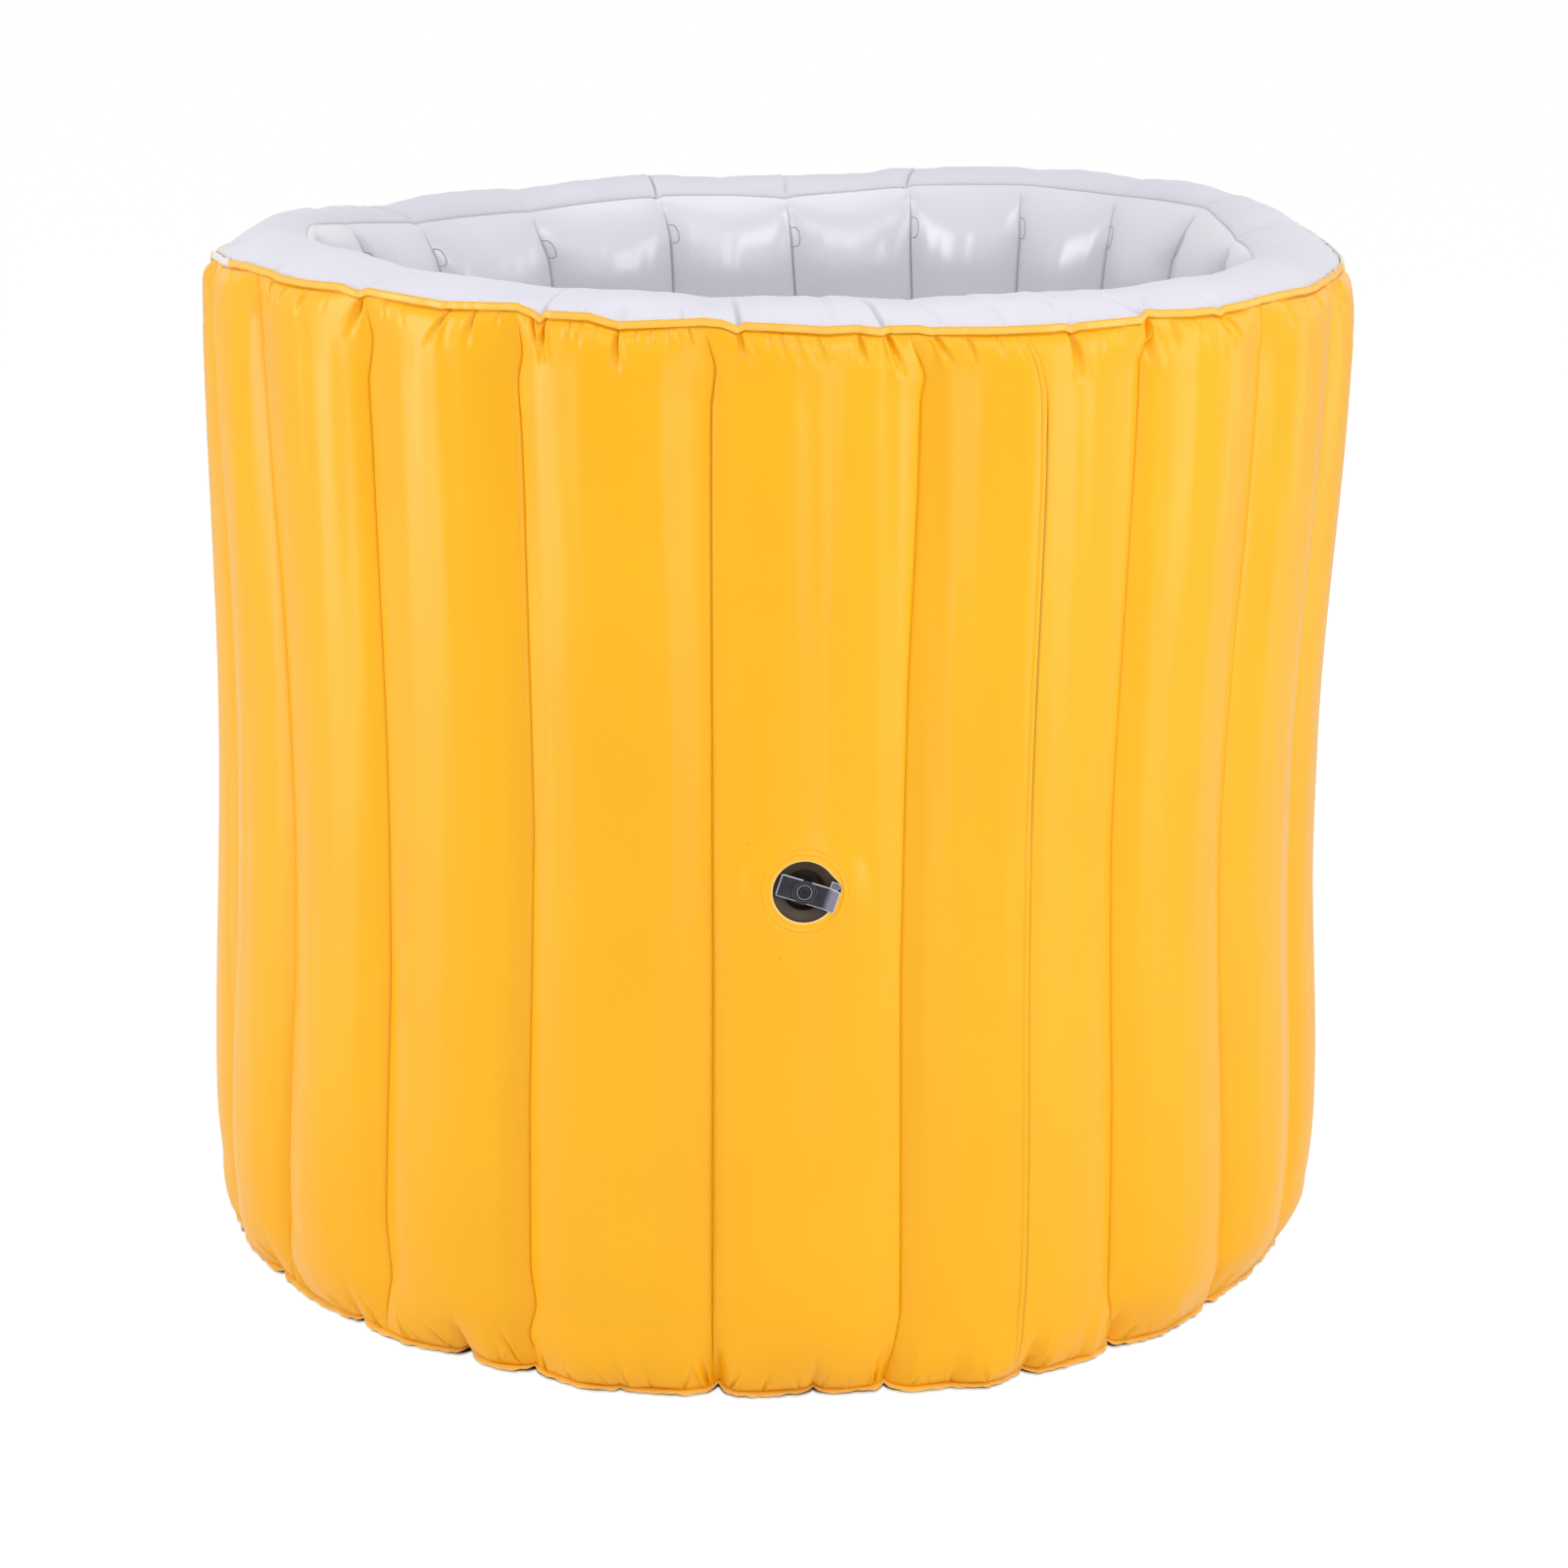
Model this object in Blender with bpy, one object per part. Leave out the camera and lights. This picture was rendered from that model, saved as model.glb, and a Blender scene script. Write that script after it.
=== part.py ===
"""An inflatable bathtub: a round wall of upright air channels with a soaking basin inside.

Metres, +Z up. The origin is on the floor under the middle of the tub, and the air valve faces -Y.
Angles round the wall start at the front, -Y, and grow towards +X.
"""

import math

import bmesh
import bpy
from mathutils import Matrix, Vector

# Whole tub
TUB_HEIGHT = 0.750  # floor to the crown of the rim
TUB_RADIUS = 0.405  # outer face of the welded band at the rim
RIM_CROWN = 0.015  # rise of the top panel over its welded bands
RIM_WIDTH = 0.054  # outer welded band to inner welded band
RIM_DIP = 0.003  # how far the top panel sinks over each baffle

# Sheet and welds
SHEET = 0.002  # thickness that the coated sheet is drawn with
WELD_GAP = 0.0003  # between two sheets that are welded face to face
BAND = 0.007  # width of every welded band

# Outer wall, at its outer face
OUTER_CREASE_INSET = 0.012  # rim band to a crease, at half height
OUTER_SWELL = 0.013  # crest of a channel over its creases, at half height
SHOULDER_DROP = 0.050  # rim band down to the fullest part of the wall
SHOULDER_CREASE_SWELL = 0.0045  # crease at the shoulder over the crease at half height
SHOULDER_SWELL = 0.0085  # crest at the shoulder over the rim band
HAUNCH_HEIGHT = 0.110  # fullest part of the wall near the floor
HAUNCH_SWELL = 0.0040  # crest at the haunch over the crest at half height
OUTER_FOOT_INSET = 0.0215  # rim band to the foot of the outer wall

# Inner wall, at its basin face
BAFFLE_DEPTH = 0.055  # outer crease to inner crease
INNER_SWELL = 0.014  # crest of a channel over its creases
INNER_FOOT_OUTSET = 0.009  # inner crease to the foot of the inner wall
INNER_CURL = 0.050  # height over which the inner wall curls into its bands

# Channels: each width as a share of their sum, from the crease left of the valve
FIRST_CREASE_ANGLE = math.radians(-5.2)
CHANNEL_WIDTH_SHARES = (
    18.3, 23.1, 17.3, 17.5, 15.0, 14.5, 14.5, 17.5, 14.3, 15.6, 16.2,
    17.9, 17.5, 19.0, 18.0, 18.0, 17.5, 16.8, 16.2, 17.3, 18.0,
)
COLUMNS_PER_CHANNEL = 4
CURL_ANGLE_SHARES = (0.35, 0.70)  # stops along each quarter-turn curl of the wall
CROWN_SHARES = (0.16, 0.50, 0.84)  # stops across the top panel

# Baffles: a web with a weld tab on each edge
BAFFLE_TOP_GAP = 0.058  # rim band down to the top of a baffle
BAFFLE_FLOOR_GAP = 0.055  # floor up to the foot of a baffle
BAFFLE_SHEET = 0.0015
TAB_WIDTH = 0.010  # width of the weld tab on the skin

# Air valve: depths are measured inwards from the flat face of its pad
VALVE_HEIGHT = 0.364
VALVE_CHANNEL_SHARE = 0.48  # place across the first channel
PAD_PROUD = 0.0008  # flat pad over the crest of its channel
PAD_RADIUS = 0.0285
PAD_DEPTH = 0.0070
RUNNING_GAP = 0.0003  # round every moving piece
BODY_RADIUS = 0.0202
BODY_WALL = 0.0006  # wall at the mouth
MOUTH_SINK = 0.0008  # mouth of the body under the pad
MOUTH_DEPTH = 0.0020  # straight part of the mouth
FUNNEL_DEPTH = 0.0027
RECESS_RADIUS = 0.0138
BACK_WALL = 0.0020  # cup wall round the recess, and its web
CUP_DEPTH = 0.0180  # pad to the back of the cup
COLLAR_RADIUS = 0.0250
COLLAR_THICKNESS = 0.0020
FLANGE_RADIUS = 0.0280
FLANGE_THICKNESS = 0.0015
GUIDE_WALL = 0.0014
GUIDE_HEIGHT = 0.0070  # guide tube over the web
VENT_RADIUS = 0.0022
VENT_COUNT = 6

# Wing key that turns in the valve
WING_TILT = math.radians(-17.0)
WING_LONG_ARM = 0.0220
WING_SHORT_ARM = 0.0176
WING_WIDTH = 0.0150
WING_THICKNESS = 0.0018
WING_SINK = 0.0002  # front of the flat arm under the pad
WING_BEND_AT = 0.0144  # where the long arm starts to lift
WING_LIFT = 0.0040  # lift of its tip
WING_CORNER = 0.0012
HUB_RADIUS = 0.0079
HUB_PROUD = 0.0004  # hub over the pad
HUB_DEPTH = 0.0049
KEY_TUBE_RADIUS = 0.0050
KEY_TUBE_END = 0.0170  # pad to the end of the key's tube
SPRING_POCKET_RADIUS = 0.0042
SPRING_POCKET_END = 0.0090  # pad to the floor of the spring's pocket

# Stop lug that the wing rests against
LUG_LENGTH = 0.0070
LUG_WIDTH = 0.0046
LUG_THICKNESS = 0.0010
LUG_CORNER = 0.0012
LUG_START = 0.0145  # along the wing, from the valve's axis
LUG_LEG_LENGTH = 0.0020

# Push stem, its seal and spring
STEM_HEAD_RADIUS = 0.0037
STEM_HEAD_LENGTH = 0.0024
STEM_PROUD = 0.0002  # head over the pad
STEM_DIMPLE_RADIUS = 0.0013
STEM_DIMPLE_DEPTH = 0.0008
STEM_RADIUS = 0.0020
STEM_FOOT_RADIUS = 0.0034
STEM_FOOT_THICKNESS = 0.0010
SEAL_RADIUS = 0.0132
SEAL_THICKNESS = 0.0015
WASHER_RADIUS = 0.0060
WASHER_THICKNESS = 0.0012
SPRING_RADIUS = 0.0032
SPRING_WIRE_RADIUS = 0.0003
SPRING_TURNS = 4
SPRING_POINTS_PER_TURN = 10

# Floor drain
DRAIN_OFFSET = 0.200  # from the middle towards the back
DRAIN_FLANGE_RADIUS = 0.0300
DRAIN_FLANGE_THICKNESS = 0.0025
DRAIN_SPIGOT_RADIUS = 0.0195
DRAIN_BORE_RADIUS = 0.0175
DRAIN_FLOOR_GAP = 0.0005  # spigot and plug over the floor
PLUG_HEAD_RADIUS = 0.0225
PLUG_HEAD_THICKNESS = 0.0025
PLUG_TAPER = 0.0008
PULL_RADIUS = 0.0060
PULL_WIRE_RADIUS = 0.0013

ROUND_SIDES = 32
SMALL_SIDES = 24
FINE_SIDES = 12
CUT_OVERRUN = 0.002
SHARP_ANGLE = math.radians(25.0)
ROUND_SEGMENTS = 2  # flats round a small corner

# Places that follow from the sizes above
SEAM_HEIGHT = TUB_HEIGHT - RIM_CROWN
FOOT_TOP = 2 * SHEET + WELD_GAP
INNER_SEAM_RADIUS = TUB_RADIUS - RIM_WIDTH
OUTER_CREASE_RADIUS = TUB_RADIUS - OUTER_CREASE_INSET
OUTER_CREST_RADIUS = OUTER_CREASE_RADIUS + OUTER_SWELL
OUTER_FOOT_RADIUS = TUB_RADIUS - OUTER_FOOT_INSET
INNER_CREASE_RADIUS = OUTER_CREASE_RADIUS - BAFFLE_DEPTH
INNER_CREST_RADIUS = INNER_CREASE_RADIUS - INNER_SWELL
INNER_FOOT_RADIUS = INNER_CREASE_RADIUS + INNER_FOOT_OUTSET


def material(name, colour, roughness, metallic=0.0, alpha=1.0):
    made = bpy.data.materials.new(name)
    made.use_nodes = True
    shader = made.node_tree.nodes["Principled BSDF"]
    shader.inputs["Base Color"].default_value = (*colour, 1.0)
    shader.inputs["Roughness"].default_value = roughness
    shader.inputs["Metallic"].default_value = metallic
    shader.inputs["Alpha"].default_value = alpha
    made.diffuse_color = (*colour, alpha)
    return made


def add_object(name, mesh, finish, parent=None):
    made = bpy.data.objects.new(name, mesh)
    bpy.context.scene.collection.objects.link(made)
    made.parent = parent
    if finish:
        mesh.materials.append(finish)
    return made


def mesh_from(name, shape):
    """A mesh from a closed bmesh, faces out, shaded smooth with its edges kept."""
    bmesh.ops.recalc_face_normals(shape, faces=shape.faces)
    mesh = bpy.data.meshes.new(name)
    shape.to_mesh(mesh)
    shape.free()
    mesh.shade_smooth()
    mesh.set_sharp_from_angle(angle=SHARP_ANGLE)
    return mesh


def add_empty(name, matrix):
    made = bpy.data.objects.new(name, None)
    bpy.context.scene.collection.objects.link(made)
    made.matrix_world = matrix
    return made


def as_helper(tool):
    tool.hide_render = True
    tool.display_type = "WIRE"
    return tool


def boolean(target, tool, operation):
    step = target.modifiers.new(tool.name, "BOOLEAN")
    step.object = as_helper(tool)
    step.operation = operation
    step.solver = "EXACT"


def round_place(radius, angle, height):
    return Vector((radius * math.sin(angle), -radius * math.cos(angle), height))


def mix(low, high, share):
    return low + (high - low) * share


def channel_columns():
    """(angle, swell share) of every upright line of the wall: 0 at a crease and 1 at a crest."""
    total = sum(CHANNEL_WIDTH_SHARES)
    columns = []
    start = FIRST_CREASE_ANGLE
    for width_share in CHANNEL_WIDTH_SHARES:
        width = math.tau * width_share / total
        for step in range(COLUMNS_PER_CHANNEL):
            across = step / COLUMNS_PER_CHANNEL
            columns.append((start + width * across, 1 - (2 * across - 1) ** 2))
        start += width
    return columns


def crease_angles():
    return [angle for angle, swell in channel_columns() if swell == 0]


def curl(foot, end, foot_height, end_height):
    """Heights and radii along a quarter-turn curl from its welded foot to the wall's full radius."""
    rows = []
    for share in CURL_ANGLE_SHARES:
        turn = share * math.pi / 2
        height = mix(foot_height, end_height, 1 - math.cos(turn))
        rows.append((height, mix(foot, end, math.sin(turn))))
    return rows


def wall_rows(foot, haunch, waist, shoulder, seam, foot_heights, seam_heights):
    """(height, radius) up one column of a wall, from its foot to its welded band."""
    foot_height, haunch_height = foot_heights
    shoulder_height, seam_height = seam_heights
    rows = [(foot_height, foot)]
    rows += curl(foot, haunch, foot_height, haunch_height)
    rows.append((haunch_height, haunch))
    rows.append((mix(haunch_height, shoulder_height, 0.5), waist))
    rows.append((shoulder_height, shoulder))
    rows += reversed(curl(seam, shoulder, seam_height, shoulder_height))
    rows.append((seam_height, seam))
    return rows


def outer_rows(swell):
    shoulder_crease = OUTER_CREASE_RADIUS + SHOULDER_CREASE_SWELL
    return wall_rows(
        OUTER_FOOT_RADIUS,
        mix(OUTER_CREASE_RADIUS, OUTER_CREST_RADIUS + HAUNCH_SWELL, swell),
        mix(OUTER_CREASE_RADIUS, OUTER_CREST_RADIUS, swell),
        mix(shoulder_crease, TUB_RADIUS + SHOULDER_SWELL, swell),
        TUB_RADIUS,
        (FOOT_TOP, HAUNCH_HEIGHT),
        (SEAM_HEIGHT - SHOULDER_DROP, SEAM_HEIGHT - BAND),
    )


def inner_rows(swell):
    face = mix(INNER_CREASE_RADIUS, INNER_CREST_RADIUS, swell)
    return wall_rows(
        INNER_FOOT_RADIUS,
        face,
        face,
        face,
        INNER_SEAM_RADIUS,
        (FOOT_TOP, FOOT_TOP + INNER_CURL),
        (SEAM_HEIGHT - BAND - INNER_CURL, SEAM_HEIGHT - BAND),
    )


def ring_mesh(name, section):
    """A closed ring whose cross-section at each column is section(swell), a closed loop of points."""
    shape = bmesh.new()
    loops = []
    for angle, swell in channel_columns():
        loops.append([shape.verts.new(round_place(r, angle, z)) for z, r in section(swell)])
    count = len(loops[0])
    for index, loop in enumerate(loops):
        following = loops[(index + 1) % len(loops)]
        for step in range(count):
            after = (step + 1) % count
            shape.faces.new((loop[step], following[step], following[after], loop[after]))
    return mesh_from(name, shape)


def outer_section(swell):
    rows = outer_rows(swell)
    lip = OUTER_FOOT_RADIUS + BAND
    face = [(FOOT_TOP - SHEET, lip), (FOOT_TOP, lip)] + rows + [(SEAM_HEIGHT, TUB_RADIUS)]
    back = [(z, r - SHEET) for z, r in reversed(rows[1:])] + [(FOOT_TOP - SHEET, rows[0][1] - SHEET)]
    return face + [(SEAM_HEIGHT, TUB_RADIUS - SHEET)] + back


def inner_section(swell):
    rows = inner_rows(swell)
    lip = INNER_FOOT_RADIUS - BAND
    face = [(FOOT_TOP - SHEET, lip), (FOOT_TOP, lip)] + rows + [(SEAM_HEIGHT, INNER_SEAM_RADIUS)]
    back = [(z, r + SHEET) for z, r in reversed(rows[1:])] + [(FOOT_TOP - SHEET, rows[0][1] + SHEET)]
    return face + [(SEAM_HEIGHT, INNER_SEAM_RADIUS + SHEET)] + back


def top_section(swell):
    """The arched top panel, whose lips hang inside the two welded bands."""
    outer_lip = TUB_RADIUS - SHEET - WELD_GAP
    inner_lip = INNER_SEAM_RADIUS + SHEET + WELD_GAP
    crown = RIM_CROWN - RIM_DIP * (1 - swell)
    face = [(SEAM_HEIGHT - BAND, outer_lip), (SEAM_HEIGHT, outer_lip)]
    under = [(SEAM_HEIGHT - BAND, outer_lip - SHEET), (SEAM_HEIGHT, outer_lip - SHEET)]
    for share in CROWN_SHARES:
        rise = crown * math.sqrt(math.sin(math.pi * share))
        radius = mix(outer_lip, inner_lip, share)
        face.append((SEAM_HEIGHT + rise, radius))
        under.append((SEAM_HEIGHT + rise - SHEET, mix(outer_lip - SHEET, inner_lip + SHEET, share)))
    face += [(SEAM_HEIGHT, inner_lip), (SEAM_HEIGHT - BAND, inner_lip)]
    under += [(SEAM_HEIGHT, inner_lip + SHEET), (SEAM_HEIGHT - BAND, inner_lip + SHEET)]
    return face + list(reversed(under))


def height_on(rows, height):
    """The radius of a column of wall at a height between its rows."""
    for (low, low_radius), (high, high_radius) in zip(rows, rows[1:]):
        if low <= height <= high:
            return mix(low_radius, high_radius, (height - low) / (high - low))
    return rows[-1][1] if height > rows[-1][0] else rows[0][1]


def baffle_mesh(name):
    """An upright I-section along +Y: local X is across the web, and Y runs from inner to outer skin."""
    foot = BAFFLE_FLOOR_GAP
    top = SEAM_HEIGHT - BAFFLE_TOP_GAP
    outer, inner = outer_rows(0), inner_rows(0)
    heights = sorted({z for z, _ in outer + inner if foot < z < top} | {foot, top})
    half_web, half_tab = BAFFLE_SHEET / 2, TAB_WIDTH / 2
    shape = bmesh.new()
    loops = []
    for height in heights:
        out = height_on(outer, height) - SHEET - WELD_GAP
        into = height_on(inner, height) + SHEET + WELD_GAP
        corner, neck = out - BAFFLE_SHEET, into + BAFFLE_SHEET
        right = [(half_tab, into), (half_tab, neck), (half_web, neck)]
        right += [(half_web, corner), (half_tab, corner), (half_tab, out)]
        left = [(-x, y) for x, y in reversed(right)]
        loops.append([shape.verts.new((x, -y, height)) for x, y in right + left])
    count = len(loops[0])
    for below, above in zip(loops, loops[1:]):
        for step in range(count):
            after = (step + 1) % count
            shape.faces.new((below[step], below[after], above[after], above[step]))
    shape.faces.new(loops[0])
    shape.faces.new(loops[-1])
    return mesh_from(name, shape)


def disc_mesh(name, radius, low, high):
    """A flat sheet whose edge follows the wall's columns."""
    shape = bmesh.new()
    below = [shape.verts.new(round_place(radius, angle, low)) for angle, _ in channel_columns()]
    bottom = shape.faces.new(below)
    raised = bmesh.ops.extrude_face_region(shape, geom=[bottom])["geom"]
    moved = [item for item in raised if isinstance(item, bmesh.types.BMVert)]
    bmesh.ops.translate(shape, vec=(0, 0, high - low), verts=moved)
    return mesh_from(name, shape)


def turned_mesh(name, profile, sides):
    """A turned solid about local Z. A profile of (radius, height) that starts on the axis is a solid,
    and one that keeps off it is a closed ring."""
    shape = bmesh.new()
    solid = profile[0][0] == 0
    rings = []
    for radius, height in profile:
        if radius == 0:
            rings.append([shape.verts.new((0, 0, height))])
            continue
        ring = []
        for step in range(sides):
            turn = math.tau * step / sides
            ring.append(shape.verts.new((radius * math.cos(turn), radius * math.sin(turn), height)))
        rings.append(ring)
    pairs = list(zip(rings, rings[1:]))
    if not solid:
        pairs.append((rings[-1], rings[0]))
    for first, second in pairs:
        for step in range(sides):
            after = (step + 1) % sides
            if len(first) == 1:
                shape.faces.new((first[0], second[step], second[after]))
            elif len(second) == 1:
                shape.faces.new((first[step], second[0], first[after]))
            else:
                shape.faces.new((first[step], second[step], second[after], first[after]))
    return mesh_from(name, shape)


def rod_mesh(name, radius, low, high, sides):
    return turned_mesh(name, [(0, low), (radius, low), (radius, high), (0, high)], sides)


def box_mesh(name, low, high, corner=0):
    """A block with its upright edges rounded by corner."""
    shape = bmesh.new()
    bmesh.ops.create_cube(shape, size=1)
    middle = (Vector(low) + Vector(high)) / 2
    sides = Vector(high) - Vector(low)
    placed = Matrix.Translation(middle) @ Matrix.Diagonal((*sides, 1))
    bmesh.ops.transform(shape, matrix=placed, verts=shape.verts)
    if corner:
        upright = [edge for edge in shape.edges if edge.verts[0].co.z != edge.verts[1].co.z]
        bmesh.ops.bevel(
            shape, geom=upright, offset=corner, segments=ROUND_SEGMENTS, profile=0.5, affect="EDGES"
        )
    return mesh_from(name, shape)


def make_skins(finishes):
    outer = add_object("outer_skin", ring_mesh("outer_skin", outer_section), finishes["yellow"])
    add_object("inner_skin", ring_mesh("inner_skin", inner_section), finishes["grey"])
    add_object("top_panel", ring_mesh("top_panel", top_section), finishes["rim"])
    sheet = disc_mesh("bottom_sheet", OUTER_FOOT_RADIUS + BAND, 0, SHEET)
    bottom = add_object("bottom_sheet", sheet, finishes["grey"])
    return outer, bottom


def make_baffles(finishes):
    shared = baffle_mesh("baffle")
    for number, angle in enumerate(crease_angles(), 1):
        baffle = add_object(f"baffle_{number:02d}", shared, None)
        baffle.rotation_euler = (0, 0, angle)
    shared.materials.append(finishes["grey"])


def valve_place():
    """The valve's frame: local Z points out of the wall, Y up, and the origin is on the pad's face."""
    total = sum(CHANNEL_WIDTH_SHARES)
    width = math.tau * CHANNEL_WIDTH_SHARES[0] / total
    angle = FIRST_CREASE_ANGLE + width * VALVE_CHANNEL_SHARE
    origin = round_place(OUTER_CREST_RADIUS + PAD_PROUD, angle, VALVE_HEIGHT)
    facing = Matrix.Rotation(angle, 4, "Z") @ Matrix.Rotation(math.pi / 2, 4, "X")
    return Matrix.Translation(origin) @ facing


def make_valve_seat(finishes, axis, outer_skin):
    """The pad and hole in the skin, the soft flange behind it and the smoky cup."""
    hole = BODY_RADIUS + WELD_GAP
    pad = add_object("pad", rod_mesh("pad", PAD_RADIUS, -PAD_DEPTH, 0, ROUND_SIDES), None, axis)
    boolean(outer_skin, pad, "UNION")
    bore = rod_mesh("pad_bore", hole, -PAD_DEPTH - CUT_OVERRUN, CUT_OVERRUN, ROUND_SIDES)
    boolean(outer_skin, add_object("pad_bore", bore, None, axis), "DIFFERENCE")

    front = -PAD_DEPTH - WELD_GAP
    back = front - FLANGE_THICKNESS
    flange = [(hole, front), (FLANGE_RADIUS, front), (FLANGE_RADIUS, back), (hole, back)]
    add_object("valve_flange", turned_mesh("valve_flange", flange, ROUND_SIDES), finishes["soft"], axis)

    mouth = BODY_RADIUS - BODY_WALL
    cup = RECESS_RADIUS + BACK_WALL
    guide = KEY_TUBE_RADIUS + RUNNING_GAP
    collar = back - WELD_GAP
    web = -CUP_DEPTH + BACK_WALL
    funnel_top = -MOUTH_SINK - MOUTH_DEPTH
    profile = [
        (BODY_RADIUS, -MOUTH_SINK),
        (BODY_RADIUS, collar),
        (COLLAR_RADIUS, collar),
        (COLLAR_RADIUS, collar - COLLAR_THICKNESS),
        (cup, collar - COLLAR_THICKNESS),
        (cup, -CUP_DEPTH),
        (guide, -CUP_DEPTH),
        (guide, web + GUIDE_HEIGHT),
        (guide + GUIDE_WALL, web + GUIDE_HEIGHT),
        (guide + GUIDE_WALL, web),
        (RECESS_RADIUS, web),
        (RECESS_RADIUS, funnel_top - FUNNEL_DEPTH),
        (mouth, funnel_top),
        (mouth, -MOUTH_SINK),
    ]
    cup_mesh = turned_mesh("valve_body", profile, ROUND_SIDES)
    body = add_object("valve_body", cup_mesh, finishes["smoke"], axis)
    vent_ring = (guide + GUIDE_WALL + RECESS_RADIUS) / 2
    vent = rod_mesh("vent", VENT_RADIUS, -CUP_DEPTH - CUT_OVERRUN, web + CUT_OVERRUN, FINE_SIDES)
    for step in range(VENT_COUNT):
        turn = math.tau * (step + 0.25) / VENT_COUNT
        cutter = add_object(f"vent_{step}", vent, None, axis)
        cutter.location = (vent_ring * math.cos(turn), vent_ring * math.sin(turn), 0)
        boolean(body, cutter, "DIFFERENCE")


def wing_arm_mesh():
    """The flat bar, with a long arm that lifts towards its tip."""
    front = -WING_SINK
    back = front - WING_THICKNESS
    side = [
        (-WING_SHORT_ARM, back, front),
        (WING_BEND_AT, back, front),
        (WING_LONG_ARM, back + WING_LIFT, front + WING_LIFT),
    ]
    half = WING_WIDTH / 2
    shape = bmesh.new()
    loops = []
    for x, low, high in side:
        corners = ((-half, low), (half, low), (half, high), (-half, high))
        loops.append([shape.verts.new((x, y, z)) for y, z in corners])
    for first, second in zip(loops, loops[1:]):
        for step in range(4):
            after = (step + 1) % 4
            shape.faces.new((first[step], second[step], second[after], first[after]))
    shape.faces.new(loops[0])
    shape.faces.new(loops[-1])
    ends = []
    for edge in shape.edges:
        a, b = edge.verts
        if a in loops[0] + loops[-1] and abs(a.co.y - b.co.y) < WING_CORNER and a.co.x == b.co.x:
            ends.append(edge)
    bmesh.ops.bevel(
        shape, geom=ends, offset=WING_CORNER, segments=ROUND_SEGMENTS, profile=0.5, affect="EDGES"
    )
    return mesh_from("valve_wing", shape)


def make_wing(finishes, axis):
    wing = add_object("valve_wing", wing_arm_mesh(), finishes["clear"], axis)
    wing.rotation_euler = (0, 0, WING_TILT)
    hub = [
        (0, HUB_PROUD),
        (HUB_RADIUS, HUB_PROUD),
        (HUB_RADIUS, HUB_PROUD - HUB_DEPTH),
        (KEY_TUBE_RADIUS, HUB_PROUD - HUB_DEPTH),
        (KEY_TUBE_RADIUS, -KEY_TUBE_END),
        (0, -KEY_TUBE_END),
    ]
    boolean(wing, add_object("hub", turned_mesh("hub", hub, SMALL_SIDES), None, axis), "UNION")
    hole = STEM_RADIUS + RUNNING_GAP
    pocket = [
        (0, HUB_PROUD + CUT_OVERRUN),
        (SPRING_POCKET_RADIUS, HUB_PROUD + CUT_OVERRUN),
        (SPRING_POCKET_RADIUS, -SPRING_POCKET_END),
        (hole, -SPRING_POCKET_END),
        (hole, -KEY_TUBE_END - CUT_OVERRUN),
        (0, -KEY_TUBE_END - CUT_OVERRUN),
    ]
    cutter = add_object("pocket", turned_mesh("pocket", pocket, SMALL_SIDES), None, axis)
    boolean(wing, cutter, "DIFFERENCE")


def make_lug(finishes, axis):
    """A clear lug beside the wing: its leg stands in the mouth and its plate lies over the rim."""
    low_y = WING_WIDTH / 2 + RUNNING_GAP
    high_y = low_y + LUG_WIDTH
    back = WELD_GAP
    front = back + LUG_THICKNESS
    tip = LUG_START + LUG_LENGTH
    plate = box_mesh("valve_lug", (LUG_START, low_y, back), (tip, high_y, front), LUG_CORNER)
    lug = add_object("valve_lug", plate, finishes["clear"], axis)
    lug.rotation_euler = (0, 0, WING_TILT)
    mouth = BODY_RADIUS - BODY_WALL - WELD_GAP
    leg_start = math.sqrt(mouth**2 - high_y**2) - LUG_LEG_LENGTH
    leg_foot = -MOUTH_SINK - MOUTH_DEPTH + WELD_GAP
    leg_end = leg_start + LUG_LEG_LENGTH
    leg = box_mesh("lug_leg", (leg_start, low_y, leg_foot), (leg_end, high_y, front - LUG_THICKNESS / 2))
    tool = add_object("lug_leg", leg, None, axis)
    tool.rotation_euler = (0, 0, WING_TILT)
    boolean(lug, tool, "UNION")


def make_stem(finishes, axis):
    seal_front = -CUP_DEPTH - WELD_GAP
    seal_back = seal_front - SEAL_THICKNESS
    washer_front = seal_back - WELD_GAP
    washer_back = washer_front - WASHER_THICKNESS
    foot_front = washer_back - WELD_GAP
    foot_back = foot_front - STEM_FOOT_THICKNESS
    head_back = STEM_PROUD - STEM_HEAD_LENGTH
    profile = [
        (0, STEM_PROUD - STEM_DIMPLE_DEPTH),
        (STEM_DIMPLE_RADIUS, STEM_PROUD),
        (STEM_HEAD_RADIUS, STEM_PROUD),
        (STEM_HEAD_RADIUS, head_back),
        (STEM_RADIUS, head_back),
        (STEM_RADIUS, foot_front),
        (STEM_FOOT_RADIUS, foot_front),
        (STEM_FOOT_RADIUS, foot_back),
        (0, foot_back),
    ]
    add_object("valve_stem", turned_mesh("valve_stem", profile, SMALL_SIDES), finishes["smoke"], axis)
    hole = STEM_RADIUS + WELD_GAP
    for name, radius, front, back, finish in (
        ("valve_seal", SEAL_RADIUS, seal_front, seal_back, "rubber"),
        ("valve_washer", WASHER_RADIUS, washer_front, washer_back, "smoke"),
    ):
        ring = [(hole, front), (radius, front), (radius, back), (hole, back)]
        add_object(name, turned_mesh(name, ring, SMALL_SIDES), finishes[finish], axis)
    make_spring(finishes, axis, head_back)


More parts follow.
